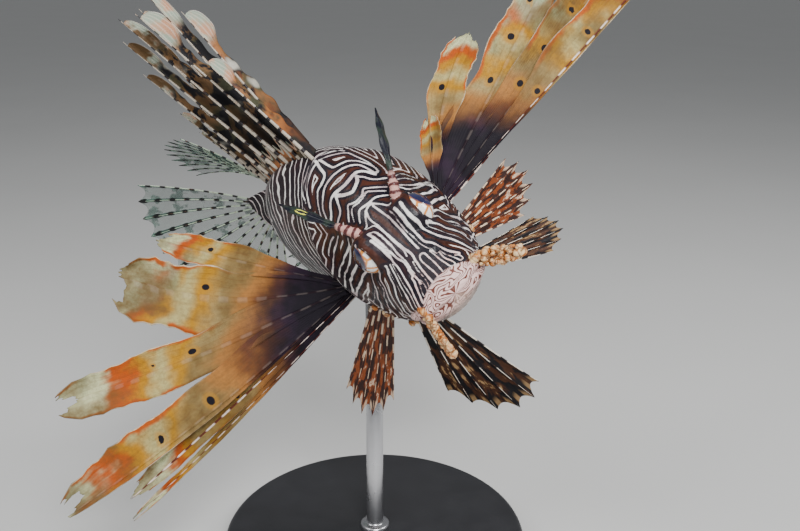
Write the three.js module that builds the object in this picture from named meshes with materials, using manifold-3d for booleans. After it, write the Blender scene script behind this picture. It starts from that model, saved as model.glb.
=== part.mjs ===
// A red lionfish, life size, in a banked turn to its right on a plain display stand.
// Millimetres, +Z up. The origin is the centre of the stand base's underside, and the nose points along -Y.
//
// The fish is built in its own frame: x forward from the snout tip, y to its left, z up its back.
// Places on the body are given as (q, y, z): q is the distance behind the snout along the bent axis.
import * as THREE from "three";
import { mergeVertices } from "three/addons/utils/BufferGeometryUtils.js";
import Module from "manifold-3d";

const wasm = await Module();
wasm.setup();

// Driving dimensions
const STANDARD_LENGTH = 175;
const GAP = 0.3;
const BANK = THREE.MathUtils.degToRad(42.5);
const SNOUT_HEIGHT = 150;
const BASE_RADIUS = 64;
const BASE_THICKNESS = 14;
const ROD_RADIUS = 3.5;

const V = (x, y, z) => new THREE.Vector3(x, y, z);
const rad = THREE.MathUtils.degToRad;
const { lerp, smoothstep } = THREE.MathUtils;

// Body form, as shares of the standard length: distance behind the snout, height of the back, depth of the
// belly, half width, and the level at which the section is widest
const STATIONS = [
  [0, 0.008, 0.012, 0.026, 0.0],
  [0.008, 0.024, 0.028, 0.052, 0.0],
  [0.025, 0.042, 0.042, 0.069, -0.005],
  [0.06, 0.075, 0.065, 0.08, -0.01],
  [0.11, 0.121, 0.095, 0.09, -0.01],
  [0.16, 0.156, 0.125, 0.101, -0.005],
  [0.23, 0.196, 0.155, 0.122, 0.0],
  [0.34, 0.241, 0.175, 0.138, 0.01],
  [0.4, 0.241, 0.175, 0.135, 0.02],
  [0.52, 0.21, 0.165, 0.106, 0.02],
  [0.66, 0.16, 0.13, 0.072, 0.012],
  [0.78, 0.118, 0.082, 0.044, 0.015],
  [0.88, 0.085, 0.045, 0.026, 0.02],
  [1.0, 0.084, 0.035, 0.014, 0.025],
];
const BACK_SHARPNESS = 1.15;
const BELLY_ROUNDNESS = 0.9;

// The value of a station column at q, by cubic pieces that pass through every station.
function station(q, column) {
  const s = q / STANDARD_LENGTH;
  const last = STATIONS.length - 1;
  let i = 0;
  while (i < last - 1 && s > STATIONS[i + 1][0]) i++;
  const slope = (k) => {
    const a = STATIONS[Math.max(k - 1, 0)];
    const b = STATIONS[Math.min(k + 1, last)];
    return (b[column] - a[column]) / (b[0] - a[0]);
  };
  const [a, b] = [STATIONS[i], STATIONS[i + 1]];
  const width = b[0] - a[0];
  const t = (s - a[0]) / width;
  const value =
    a[column] * (1 + 2 * t) * (1 - t) ** 2 +
    slope(i) * width * t * (1 - t) ** 2 +
    b[column] * t * t * (3 - 2 * t) +
    slope(i + 1) * width * t * t * (t - 1);
  return value * STANDARD_LENGTH;
}

// The axis swings in an S: to the fish's right behind the head, straight again, and right at the tail.
// The trunk also rises a little above the head.
const BENDS = [
  { from: 48, to: 76, turn: rad(28) },
  { from: 86, to: 120, turn: rad(-28) },
  { from: 140, to: 175, turn: rad(52) },
];
const ARCH = { from: 52, to: 96, rise: 6 };
const heading = (q) => BENDS.reduce((sum, b) => sum + b.turn * smoothstep(q, b.from, b.to), 0);
const AXIS_STEP = 0.5;
const axisPoints = [V(0, 0, 0)];
for (let q = 0; q < STANDARD_LENGTH * 1.5; q += AXIS_STEP) {
  const angle = heading(q + AXIS_STEP / 2);
  const step = V(-Math.cos(angle), -Math.sin(angle), 0).multiplyScalar(AXIS_STEP);
  axisPoints.push(axisPoints.at(-1).clone().add(step));
}

// (q, y, z) on the bent body to the fish's own frame.
function onBody(q, y, z) {
  if (q <= 0) return V(-q, y, z);
  const place = q / AXIS_STEP;
  const i = Math.floor(place);
  const centre = axisPoints[i].clone().lerp(axisPoints[i + 1], place - i);
  const angle = heading(q);
  const raised = z + ARCH.rise * smoothstep(q, ARCH.from, ARCH.to);
  return V(centre.x - Math.sin(angle) * y, centre.y + Math.cos(angle) * y, raised);
}
// A direction (back, left, up) at q to the fish's own frame.
function along(q, back, left, up) {
  const angle = heading(q);
  const x = -Math.cos(angle) * back - Math.sin(angle) * left;
  return V(x, -Math.sin(angle) * back + Math.cos(angle) * left, up).normalize();
}

// A point of the body's skin, grown outwards by grow. Angle 0 is the left side and 90 degrees is the back.
function skinPoint(q, angle, grow = 0) {
  const widest = station(q, 4);
  const up = Math.sin(angle) >= 0;
  const height = up ? station(q, 1) - widest : station(q, 2) + widest;
  const power = up ? BACK_SHARPNESS : BELLY_ROUNDNESS;
  const across = Math.cos(angle);
  const y = Math.sign(across) * Math.abs(across) ** power * (station(q, 3) + grow);
  return onBody(q, y, widest + Math.sin(angle) * (height + grow));
}
const backAt = (q) => station(q, 1);
const bellyAt = (q) => -station(q, 2);

// Solids
function solidOf(geometry) {
  const plain = new THREE.BufferGeometry();
  const source = geometry.index ? geometry.toNonIndexed() : geometry;
  plain.setAttribute("position", source.getAttribute("position"));
  const merged = mergeVertices(plain, 1e-4);
  const mesh = new wasm.Mesh({
    numProp: 3,
    vertProperties: merged.attributes.position.array,
    triVerts: new Uint32Array(merged.index.array),
  });
  return new wasm.Manifold(mesh);
}

function geometryOf(solid) {
  const mesh = solid.getMesh();
  const geometry = new THREE.BufferGeometry();
  geometry.setAttribute("position", new THREE.BufferAttribute(mesh.vertProperties, 3));
  geometry.setIndex(new THREE.BufferAttribute(mesh.triVerts, 1));
  geometry.computeVertexNormals();
  return geometry;
}

const join = (solids) => solids.reduce((a, b) => a.add(b));
const largest = (solid) =>
  solid.decompose().reduce((a, b) => (b.volume() > a.volume() ? b : a));

// A closed geometry from corner points and triangles of their numbers.
function closed(points, faces) {
  const geometry = new THREE.BufferGeometry().setFromPoints(points);
  geometry.setIndex(faces.flat());
  return geometry;
}

// A closed skin over rings of equal length, with a middle point at each end.
function loft(rings, firstMiddle, lastMiddle) {
  const n = rings[0].length;
  const points = [...rings.flat(), firstMiddle, lastMiddle];
  const faces = [];
  for (let i = 0; i + 1 < rings.length; i++) {
    for (let j = 0; j < n; j++) {
      const a = i * n + j;
      const b = i * n + ((j + 1) % n);
      faces.push([a, a + n, b], [b, a + n, b + n]);
    }
  }
  const first = rings.length * n;
  const base = (rings.length - 1) * n;
  for (let j = 0; j < n; j++) {
    faces.push([first, j, (j + 1) % n]);
    faces.push([first + 1, base + ((j + 1) % n), base + j]);
  }
  return facingOut(closed(points, faces));
}

// Turns a closed geometry's faces round if they point inwards.
function facingOut(geometry) {
  const solid = solidOf(geometry);
  if (solid.volume() > 0) return geometry;
  const index = geometry.index.array;
  for (let i = 0; i < index.length; i += 3) [index[i], index[i + 1]] = [index[i + 1], index[i]];
  return geometry;
}

// A thin closed sheet round the surface centre(u, v), split alike on both faces.
// half(u, v) is half its thickness.
function sheet(stepsU, stepsV, centre, half) {
  const at = (i, j) => centre(i / stepsU, j / stepsV);
  const [up, down] = [[], []];
  for (let i = 0; i <= stepsU; i++) {
    for (let j = 0; j <= stepsV; j++) {
      const du = at(Math.min(i + 1, stepsU), j).sub(at(Math.max(i - 1, 0), j));
      const dv = at(i, Math.min(j + 1, stepsV)).sub(at(i, Math.max(j - 1, 0)));
      const normal = du.cross(dv).normalize();
      const middle = at(i, j);
      const h = half(i / stepsU, j / stepsV);
      up.push(middle.clone().addScaledVector(normal, h));
      down.push(middle.clone().addScaledVector(normal, -h));
    }
  }
  const row = stepsV + 1;
  const far = up.length;
  const faces = [];
  const quad = (a, b, c, d) => faces.push([a, b, c], [a, c, d]);
  for (let i = 0; i < stepsU; i++) {
    for (let j = 0; j < stepsV; j++) {
      const k = i * row + j;
      faces.push([k, k + row, k + row + 1], [k, k + row + 1, k + 1]);
      faces.push([far + k, far + k + row + 1, far + k + row]);
      faces.push([far + k, far + k + 1, far + k + row + 1]);
    }
    const [a, b] = [i * row, i * row + stepsV];
    quad(a, far + a, far + a + row, a + row);
    quad(b + row, far + b + row, far + b, b);
  }
  for (let j = 0; j < stepsV; j++) {
    const b = stepsU * row + j;
    quad(j + 1, far + j + 1, far + j, j);
    quad(b, far + b, far + b + 1, b + 1);
  }
  return facingOut(closed([...up, ...down], faces));
}

// A round, tapered limb along the points of a path.
function limb(path, radii, sides = 6) {
  const rings = path.map((p, i) => {
    const ahead = path[Math.min(i + 1, path.length - 1)];
    const tangent = ahead.clone().sub(path[Math.max(i - 1, 0)]).normalize();
    const side = V(0.31, 0.17, 0.93).cross(tangent).normalize();
    const other = tangent.clone().cross(side);
    return Array.from({ length: sides }, (_, j) => {
      const a = (j / sides) * 2 * Math.PI;
      return p
        .clone()
        .addScaledVector(side, Math.cos(a) * radii[i])
        .addScaledVector(other, Math.sin(a) * radii[i]);
    });
  });
  return loft(rings, path[0], path.at(-1));
}

function ball(centre, radius, across = 12, down = 8, stretch = V(1, 1, 1)) {
  const geometry = new THREE.SphereGeometry(radius, across, down);
  return geometry.scale(stretch.x, stretch.y, stretch.z).translate(centre.x, centre.y, centre.z);
}

// The point at s along a ray that leaves root in direction start and ends in direction end.
function bowed(root, start, end, length, s) {
  const middle = root.clone().addScaledVector(start, length / 2);
  const tip = middle.clone().addScaledVector(end, length / 2);
  const [a, b] = [root.clone().lerp(middle, s), middle.clone().lerp(tip, s)];
  return a.lerp(b, s);
}

// Body: head, torso and tail, cut at the gill cover's edge and before the tail stalk
const SIDES = 24;
const GILL_EDGE = 58;
const GILL_FLAP = 6;
const TAIL_CUT = 118;
const OPERCLE_STEP = 0.9;
const angles = Array.from({ length: SIDES }, (_, j) => (j / SIDES) * 2 * Math.PI);
const HEAD_RINGS = [0, 1.4, 4.4, 8, 12, 16, 20, 24, 29, 35, 42, 49];
const TORSO_RINGS = [68, 76, 84, 92, 100, 109, TAIL_CUT];
const TAIL_RINGS = [126, 135, 144, 153, 161, 168];
const SNOUT_BULGE = 0.4;
const gillEdge = (angle) => GILL_EDGE + GILL_FLAP * Math.cos(angle) ** 2;
const ring = (place, grow) =>
  angles.map((a) => skinPoint(typeof place === "function" ? place(a) : place, a, grow));
const middleOf = (q) => onBody(q, 0, (backAt(q) + bellyAt(q)) / 2);

// The head's rings grown by grow; the last two stand out as the free edge of the gill cover.
function headRings(grow) {
  const rings = HEAD_RINGS.map((q) => ring(q, grow));
  rings.push(ring((a) => gillEdge(a) - 2, OPERCLE_STEP + grow));
  rings.push(ring(gillEdge, OPERCLE_STEP * 0.6 + grow));
  return rings;
}
function headForm() {
  return loft(headRings(0), onBody(-SNOUT_BULGE, 0, 0), middleOf(GILL_EDGE));
}
function torsoForm() {
  const rings = [ring((a) => gillEdge(a) + GAP, 0), ...TORSO_RINGS.map((q) => ring(q, 0))];
  return loft(rings, middleOf(GILL_EDGE + GAP), middleOf(TAIL_CUT));
}
function tailForm() {
  const rings = [TAIL_CUT + GAP, ...TAIL_RINGS, STANDARD_LENGTH].map((q) => ring(q, 0));
  return loft(rings, middleOf(TAIL_CUT + GAP), middleOf(STANDARD_LENGTH));
}
// The whole body, grown by the gap: what grows from the body is cut by it.
function bodyCutter() {
  const behind = [...TORSO_RINGS, ...TAIL_RINGS, STANDARD_LENGTH + GAP];
  const rings = [...headRings(GAP), ...behind.map((q) => ring(q, GAP))];
  return solidOf(loft(rings, onBody(-SNOUT_BULGE - GAP, 0, 0), middleOf(STANDARD_LENGTH + GAP)));
}
const body = bodyCutter();
const clearOfBody = (solid) => largest(solid.subtract(body));

// Mouth: an oblique gape, with the lower jaw as its own piece under it
const GAPE = { tip: -1.2, corner: V(-20, 0, -8), heel: V(-29, 0, -40), ahead: 12, halfWidth: 40 };
function jawRegion(grow) {
  const { tip, corner, heel, ahead, halfWidth } = GAPE;
  const outline = new THREE.Shape();
  outline.moveTo(ahead, tip + grow);
  outline.lineTo(-2, tip + grow);
  outline.lineTo(corner.x - grow, corner.z + grow);
  outline.lineTo(heel.x - grow, heel.z);
  outline.lineTo(ahead, heel.z);
  const geometry = new THREE.ExtrudeGeometry(outline, { depth: 2 * halfWidth, bevelEnabled: false });
  return solidOf(geometry.rotateX(Math.PI / 2).translate(0, halfWidth, 0));
}
// A lip runs round the edge of the gape from corner to corner.
const LIP = { steps: 10, start: 0.6, reach: 17, turn: 1.9, inset: 0.97, thinning: 0.35 };
function lip(lift, radius) {
  const path = [];
  const radii = [];
  for (let i = 0; i <= LIP.steps; i++) {
    const t = (i / LIP.steps) * 2 - 1;
    const q = LIP.start + LIP.reach * t * t;
    const level = lerp(GAPE.tip, GAPE.corner.z, Math.max(0, (q - 2) / 18)) + lift;
    const y = Math.sign(t) * station(q, 3) * Math.min(1, Math.abs(t) * LIP.turn) * LIP.inset;
    path.push(onBody(q, y, level));
    radii.push(radius * (1 - LIP.thinning * t * t));
  }
  return solidOf(limb(path, radii));
}

// Eyes under bony brows, nostrils and cheek spines
const EYE = { q: 24.5, side: 9.2, level: 18, radius: 6.6 };
const EYE_MESH = [14, 9];
const BROW = { grow: 1.1, lift: V(-0.4, 0, 0.3), inward: 1.2, window: 6.4, reach: 5.2 };
const eyeCentre = (side) => onBody(EYE.q, side * EYE.side, EYE.level);
const eyeball = (side, grow) => solidOf(ball(eyeCentre(side), EYE.radius + grow, ...EYE_MESH));
function brow(side) {
  const centre = eyeCentre(side).add(BROW.lift);
  centre.y -= side * BROW.inward;
  return solidOf(ball(centre, EYE.radius + BROW.grow, ...EYE_MESH, V(1.25, 1, 1)));
}
// The round opening of the orbit faces outwards, a little up and forwards.
function orbit(side) {
  const facing = V(0.3, side * 0.9, 0.12).normalize();
  const centre = eyeCentre(side).addScaledVector(facing, BROW.reach);
  return solidOf(ball(centre, BROW.window, ...EYE_MESH));
}
const NOSTRIL = { q: 9, side: 5, drop: 1.6, radius: 1 };
function nostril(side) {
  const centre = onBody(NOSTRIL.q, side * NOSTRIL.side, 0);
  centre.z = backAt(NOSTRIL.q) - NOSTRIL.drop;
  return solidOf(ball(centre, NOSTRIL.radius, 6, 5));
}
const CHEEK_SPINES = [
  { q: 31, level: -13, length: 6 },
  { q: 38, level: -17, length: 7 },
  { q: 44, level: -9, length: 5 },
];
const CHEEK_SPINE_RADII = [1.6, 1.3, 0.35];
function cheekSpine({ q, level, length }, side) {
  const widest = station(q, 4);
  const reach = (level - widest) / (station(q, 2) + widest);
  const angle = Math.asin(Math.max(-1, reach));
  const skin = skinPoint(q, side > 0 ? angle : Math.PI - angle);
  const out = V(-0.25, side * 0.85, -0.5).normalize();
  const path = [-1.5, length * 0.5, length].map((d) => skin.clone().addScaledVector(out, d));
  return solidOf(limb(path, CHEEK_SPINE_RADII));
}

function headAndJaw() {
  const form = solidOf(headForm());
  const upper = [form, lip(1.3, 1.7), brow(1), brow(-1)];
  for (const side of [1, -1]) for (const spine of CHEEK_SPINES) upper.push(cheekSpine(spine, side));
  const sockets = [1, -1].map((side) => eyeball(side, GAP));
  const cuts = [jawRegion(GAP), ...sockets, orbit(1), orbit(-1), nostril(1), nostril(-1)];
  const head = largest(join(upper).subtract(join(cuts)));
  const jaw = largest(join([form, lip(-1.5, 1.6)]).intersect(jawRegion(0)));
  return { head, jaw };
}

// Fins
const MEMBRANE = 0.3;
const RAY = 0.62;

// A fan of rays joined by membrane. Ray k of count has its point at s given by rayPoint(k, s).
// Between rays the edge is notched by notch of the ray's length.
function fan({ count, steps, rayPoint, notch }) {
  const lanes = (count - 1) * 2;
  const centre = (u, v) => {
    const lane = v * lanes;
    const k = Math.floor(lane / 2);
    const odd = Math.round(lane) % 2 === 1;
    if (!odd) return rayPoint(Math.round(lane / 2), u);
    const s = u * (1 - notch);
    return rayPoint(k, s).lerp(rayPoint(k + 1, s), 0.5);
  };
  const half = (u, v) => {
    const onRay = Math.round(v * lanes) % 2 === 0;
    return lerp(onRay ? RAY : MEMBRANE, MEMBRANE, u * 0.7);
  };
  return solidOf(sheet(steps, lanes, centre, half));
}

const tailRay = (q, y, z, start, end, length) => (s) =>
  bowed(onBody(q, y, z), along(q, ...start), along(q, ...end), length, s);

const SOFT_DORSAL = { rays: 10, from: 121, to: 142, sunk: 2, shortest: 44, longest: 54, notch: 0.1 };
function softDorsal() {
  const { rays, from, to, sunk, shortest, longest, notch } = SOFT_DORSAL;
  const ray = (k) => {
    const t = k / (rays - 1);
    const q = lerp(from, to, t);
    const start = [lerp(0.62, 0.8, t), -0.2, lerp(0.9, 0.75, t)];
    const end = [lerp(0.2, 0.55, t), lerp(-0.5, -1.1, t), lerp(1.05, 0.5, t)];
    return tailRay(q, 0, backAt(q) - sunk, start, end, lerp(shortest, longest, Math.sin(t * Math.PI)));
  };
  return clearOfBody(fan({ count: rays, steps: 4, rayPoint: (k, s) => ray(k)(s), notch }));
}
const ANAL = { rays: 9, from: 114, to: 138, sunk: 2, shortest: 24, longest: 48, notch: 0.1 };
function analFin() {
  const { rays, from, to, sunk, shortest, longest, notch } = ANAL;
  const ray = (k) => {
    const t = k / (rays - 1);
    const q = lerp(from, to, t);
    const lean = lerp(rad(30), rad(72), t);
    const start = [Math.sin(lean), -0.45, -Math.cos(lean)];
    const end = [Math.sin(lean + 0.15), -0.7, -Math.cos(lean + 0.15)];
    const length = lerp(shortest, longest, Math.min(1, t * 2.5)) - 8 * Math.max(0, t - 0.6);
    return tailRay(q, 0, bellyAt(q) + sunk, start, end, length);
  };
  return clearOfBody(fan({ count: rays, steps: 4, rayPoint: (k, s) => ray(k)(s), notch }));
}
const CAUDAL = { rays: 12, spread: rad(52), rise: rad(-2), sunk: 3, length: 60, rounding: 6, notch: 0.06 };
function caudalFin() {
  const { rays, spread, rise: middle, sunk, length, rounding, notch } = CAUDAL;
  const ray = (k) => {
    const t = (k / (rays - 1)) * 2 - 1;
    const rise = middle + spread * t;
    const start = [Math.cos(rise), -0.05, Math.sin(rise)];
    const end = [Math.cos(rise), -0.35, Math.sin(rise)];
    return tailRay(STANDARD_LENGTH - sunk, 0, 4 + 8 * t, start, end, length - rounding * t * t);
  };
  return clearOfBody(fan({ count: rays, steps: 5, rayPoint: (k, s) => ray(k)(s), notch }));
}

// Pelvic fins: the right one hangs straight down and a little forward, the left one trails out and back.
const PELVIC = {
  right: { fore: [-0.42, 0.12, -1], aft: [0.12, -0.38, -1], length: 62, curl: [0.3, 0.1, 0] },
  left: { fore: [0.1, 0.6, -0.6], aft: [0.25, 0.95, -0.52], length: 51, curl: [0.1, 0.05, 0.1] },
};
const FAN_RAYS = 6;
function pelvicFin(name, side) {
  const { fore, aft, length, curl } = PELVIC[name];
  const ray = (k, s) => {
    const t = k / (FAN_RAYS - 1);
    const start = fore.map((f, i) => lerp(f, aft[i], t));
    const end = start.map((f, i) => f + curl[i]);
    const q = lerp(60, 66, t);
    const size = length * (0.78 + 0.3 * Math.sin((0.15 + 0.75 * t) * Math.PI));
    const root = beside(q, side * lerp(8, 10, t), bellyAt(q) + 5);
    return bowed(root, along(0, ...start), along(0, ...end), size, s);
  };
  return clearOfBody(fan({ count: FAN_RAYS, steps: 5, rayPoint: ray, notch: 0.06 }));
}

// Pectoral fins. Each ray leaves the fleshy base at rise above level and sweep backwards, and bows upwards
// by bow along its length. Its membrane is width wide, with the share below it under the ray, and turns by
// twist towards the tip.
const PECTORAL = {
  right: [
    { rise: -2, sweep: 4, length: 123, bow: 4, width: 3, below: 0.5, twist: 10 },
    { rise: 1, sweep: 3, length: 116, bow: 2, width: 8, below: 0.4, twist: 12 },
    { rise: 7, sweep: 0, length: 134, bow: 12, width: 14, below: 0.12, twist: 5 },
    { rise: 21, sweep: 9, length: 118, bow: 10, width: 17, below: 0.5, twist: -8 },
    { rise: 42, sweep: 24, length: 96, bow: 40, width: 26, below: 0.55, twist: -14 },
    { rise: 50, sweep: 36, length: 80, bow: 6, width: 12, below: 0.45, twist: -30 },
  ],
  left: [
    { rise: 3, sweep: 9, length: 118, bow: 2, width: 3, below: 0.5, twist: 8 },
    { rise: 2, sweep: 3, length: 134, bow: 2, width: 12, below: 0.06, twist: 4 },
    { rise: 6, sweep: 9, length: 120, bow: 4, width: 15, below: 0.35, twist: 0 },
    { rise: 13, sweep: 16, length: 104, bow: 0, width: 16, below: 0.4, twist: -12 },
    { rise: 23, sweep: 28, length: 73, bow: -38, width: 14, below: 0.5, twist: -25 },
    { rise: 40, sweep: 32, length: 30, bow: -10, width: 9, below: 0.5, twist: -40 },
  ],
};
const FIN_BASE = { q: 62, side: 24, level: -3 };
const FACING = V(0.9, 0, 0.42).normalize();
// A point straight beside the axis at q, for the paired fins, which don't turn with the body's swing.
const beside = (q, y, z) => onBody(q, 0, z).add(V(0, y, 0));
function pectoralRay(ray, k, side) {
  const root = beside(FIN_BASE.q, side * FIN_BASE.side, FIN_BASE.level - 3 + k * 1.5);
  const direction = (rise) => {
    const [r, w] = [rad(rise), rad(ray.sweep)];
    return V(-Math.sin(w), side * Math.cos(w) * Math.cos(r), Math.cos(w) * Math.sin(r));
  };
  const [start, end] = [direction(ray.rise - ray.bow / 2), direction(ray.rise + ray.bow / 2)];
  const at = (s) => bowed(root, start, end, ray.length, s);
  const raised = (s) => {
    const tangent = start.clone().lerp(end, s).normalize();
    const up = tangent.clone().cross(FACING).multiplyScalar(-side).normalize();
    return up.applyAxisAngle(tangent, side * rad(ray.twist) * s);
  };
  return { at, raised };
}
const WEB_END = 0.5;
function blade(rays, k, side) {
  const ray = pectoralRay(rays[k], k, side);
  const next = rays[k + 1] && pectoralRay(rays[k + 1], k + 1, side);
  const { width, length, below } = rays[k];
  const free = (u) => {
    const rounding = Math.sqrt(Math.max(0, 1 - Math.max(0, (u - 0.72) / 0.28) ** 2));
    return width * (0.25 + 0.75 * smoothstep(u, 0.1, 0.6)) * Math.max(0.12, rounding);
  };
  const centre = (u, v) => {
    const rest = ray.at(u).addScaledVector(ray.raised(u), -below * free(u));
    const edge = ray.at(u).addScaledVector(ray.raised(u), (1 - below) * free(u));
    if (next) {
      const reach = Math.min(1, (u * length) / rays[k + 1].length);
      edge.lerp(next.at(reach), 1 - smoothstep(u, 0.22, WEB_END));
    }
    const cup = -width * 0.12 * Math.sin(v * Math.PI) * u;
    const place = v < 0.4 ? rest.lerp(ray.at(u), v * 3) : ray.at(u).lerp(edge, (v - 1 / 3) * 1.5);
    return place.addScaledVector(FACING, cup);
  };
  const half = (u, v) => lerp(Math.abs(v - 1 / 3) < 0.01 ? 0.8 : 0.33, 0.3, u * 0.8);
  return solidOf(sheet(10, 3, centre, half));
}
const SHOULDER = { radius: 5, stretch: V(0.6, 1.1, 1.5) };
function finLobe(side) {
  const centre = beside(FIN_BASE.q + 1, side * (FIN_BASE.side - 2), FIN_BASE.level - 1);
  return solidOf(ball(centre, SHOULDER.radius, 12, 8, SHOULDER.stretch));
}
function pectoralFin(name, side) {
  const rays = PECTORAL[name];
  const blades = rays.map((_, k) => blade(rays, k, side));
  return clearOfBody(join([finLobe(side), ...blades]));
}

// The lowest pectoral rays are short, unbranched and thick, and hang in their own bunch.
const LOWER_RAYS = {
  right: { from: [0.3, -0.8, -0.6], to: [0.16, -0.62, -0.76], length: 48 },
  left: { from: [0.25, 0.85, 0], to: [0.3, 0.8, -0.5], length: 36 },
};
function lowerRays(name, side) {
  const { from, to, length } = LOWER_RAYS[name];
  const ray = (k, s) => {
    const t = k / (FAN_RAYS - 1);
    const direction = along(0, ...from.map((f, i) => lerp(f, to[i], t)));
    const q = FIN_BASE.q - 1;
    const root = beside(q, side * (FIN_BASE.side - 1 - 4 * t), FIN_BASE.level - 10 - 8 * t);
    const size = length * (0.85 + 0.22 * Math.sin(t * Math.PI));
    return root.addScaledVector(direction, size * s);
  };
  return clearOfBody(fan({ count: FAN_RAYS, steps: 4, rayPoint: ray, notch: 0.22 }));
}

// Dorsal spines, each with a ragged vane behind it, joined at the foot by a low web
const SPINE_LENGTHS = [50, 66, 76, 80, 80, 78, 75, 70, 64, 56, 46, 34, 37];
const SPINE_ROOTS = { from: 61, to: 115 };
const SPINE_RADII = [1.3, 1, 0.7, 0.2];
const SPINE_LEAN = [rad(14), rad(31)];
const VANE = { narrow: 3, flag: 6, from: 0.06, to: 0.97, half: 0.3 };
const WEB_HEIGHT = 9;
function spine(k) {
  const t = k / (SPINE_LENGTHS.length - 1);
  const q = lerp(SPINE_ROOTS.from, SPINE_ROOTS.to, t);
  const lean = lerp(...SPINE_LEAN, t);
  const splay = (k % 2 ? 0.08 : -0.05) - 0.1 * t;
  const root = onBody(q, 0, backAt(q) - 3);
  const start = along(0, Math.sin(lean), splay, Math.cos(lean));
  const end = along(0, Math.sin(lean + 0.12), splay, Math.cos(lean + 0.12));
  const at = (s) => bowed(root, start, end, SPINE_LENGTHS[k] + 3, s);
  return { at, back: along(0, 0.75, 0.62, 0.1) };
}
function dorsalSpines() {
  const pieces = [];
  SPINE_LENGTHS.forEach((length, k) => {
    const { at, back } = spine(k);
    const path = [0, 0.35, 0.7, 1].map(at);
    pieces.push(solidOf(limb(path, SPINE_RADII, 4)));
    const rounded = (u) => Math.sqrt(Math.max(0, 1 - Math.max(0, (u - 0.85) / 0.15) ** 2));
    const flag = (u) => VANE.flag * smoothstep(u, 0.5, 0.85) * rounded(u);
    const vane = (u) => VANE.narrow * Math.max(0.2, rounded(u)) + flag(u);
    const size = length / 70;
    const centre = (u, v) => at(lerp(VANE.from, VANE.to, u)).addScaledVector(back, v * vane(u) * size);
    pieces.push(solidOf(sheet(6, 1, centre, () => VANE.half)));
  });
  const count = SPINE_LENGTHS.length;
  const web = (u, v) => {
    const q = lerp(SPINE_ROOTS.from - 1, SPINE_ROOTS.to + 2, v);
    return onBody(q, 0, backAt(q) - 2).addScaledVector(along(q, 0.5, 0, 0.87), u * (WEB_HEIGHT + 2));
  };
  pieces.push(solidOf(sheet(1, count - 1, web, (u) => lerp(1, 0.4, u))));
  return clearOfBody(join(pieces));
}

// Tentacles over the eyes and lobed barbels at the snout
const EYE_TENTACLE = {
  left: { direction: [0.42, 0.55, 0.72], length: 36, leaf: 3 },
  right: { direction: [0.5, -0.42, 0.76], length: 34, leaf: 5.5 },
};
const STALK_RADII = [1.7, 1.8, 1.2, 0.9, 0.3];
function eyeTentacle(name, side) {
  const { direction, length, leaf } = EYE_TENTACLE[name];
  const root = onBody(25, side * 7.2, 23.5);
  const way = along(0, ...direction);
  const bent = way.clone().add(V(-0.5, 0, -0.12)).normalize();
  const at = (s) => bowed(root, way, bent, length, s);
  const stalk = [0, 0.15, 0.3, 0.62, 1].map(at);
  const stem = solidOf(limb(stalk, STALK_RADII));
  const across = V(0.3, 1, 0.6).cross(way).normalize();
  const width = (u) => leaf * Math.sin(Math.PI * Math.min(1, u * 0.9 + 0.08)) ** 0.8;
  const centre = (u, v) => at(lerp(0.32, 0.99, u)).addScaledVector(across, (v * 2 - 1) * width(u) * 0.6);
  return solidOf(sheet(7, 2, centre, () => 0.32)).add(stem);
}
const BARBEL = {
  left: { root: V(-4.5, 11, 1), tip: V(2, 24.5, -5) },
  right: { root: V(-4.5, -11, 1), tip: V(3, -13.5, -13) },
};
const BARBEL_LOBES = 4;
const LOBE_SIZE = { least: 2, more: 0.9 };
function barbel(name) {
  const { root, tip } = BARBEL[name];
  const lobes = [];
  for (let k = 0; k <= BARBEL_LOBES; k++) {
    const t = k / BARBEL_LOBES;
    const centre = root.clone().lerp(tip, t);
    centre.z += (k % 2 ? 0.9 : -0.7) * t;
    centre.x += (k % 3) - 1;
    const radius = LOBE_SIZE.least + LOBE_SIZE.more * Math.sin(Math.PI * (0.15 + 0.75 * t));
    lobes.push(solidOf(ball(centre, radius, 6, 5)));
  }
  return join(lobes);
}

// The parts, in the fish's frame
const skinMaterial = new THREE.MeshStandardMaterial({ color: 0x5a2b1c, roughness: 0.45 });
const jawMaterial = new THREE.MeshStandardMaterial({ color: 0xb89a90, roughness: 0.45 });
const eyeMaterial = new THREE.MeshStandardMaterial({ color: 0x101a3c, roughness: 0.1 });
const finMaterial = new THREE.MeshStandardMaterial({ color: 0xc98a3f, roughness: 0.5 });
const clearFinMaterial = new THREE.MeshStandardMaterial({ color: 0x7d9a80, roughness: 0.4 });
const darkFinMaterial = new THREE.MeshStandardMaterial({ color: 0x2c1b14, roughness: 0.5 });
const flapMaterial = new THREE.MeshStandardMaterial({ color: 0xe0b070, roughness: 0.5 });
const standMaterial = new THREE.MeshStandardMaterial({ color: 0x2e2e30, roughness: 0.4 });
const rodMaterial = new THREE.MeshStandardMaterial({ color: 0xb0b0b4, roughness: 0.25, metalness: 1 });

const { head, jaw } = headAndJaw();
const eyes = [1, -1].map((side) => eyeball(side, 0));
const headCutter = head.add(jaw);
const clearOfHead = (solid) => {
  let clear = solid.subtract(body);
  for (const side of [1, -1]) clear = clear.subtract(eyeball(side, GAP));
  return largest(clear.subtract(headCutter));
};

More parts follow.
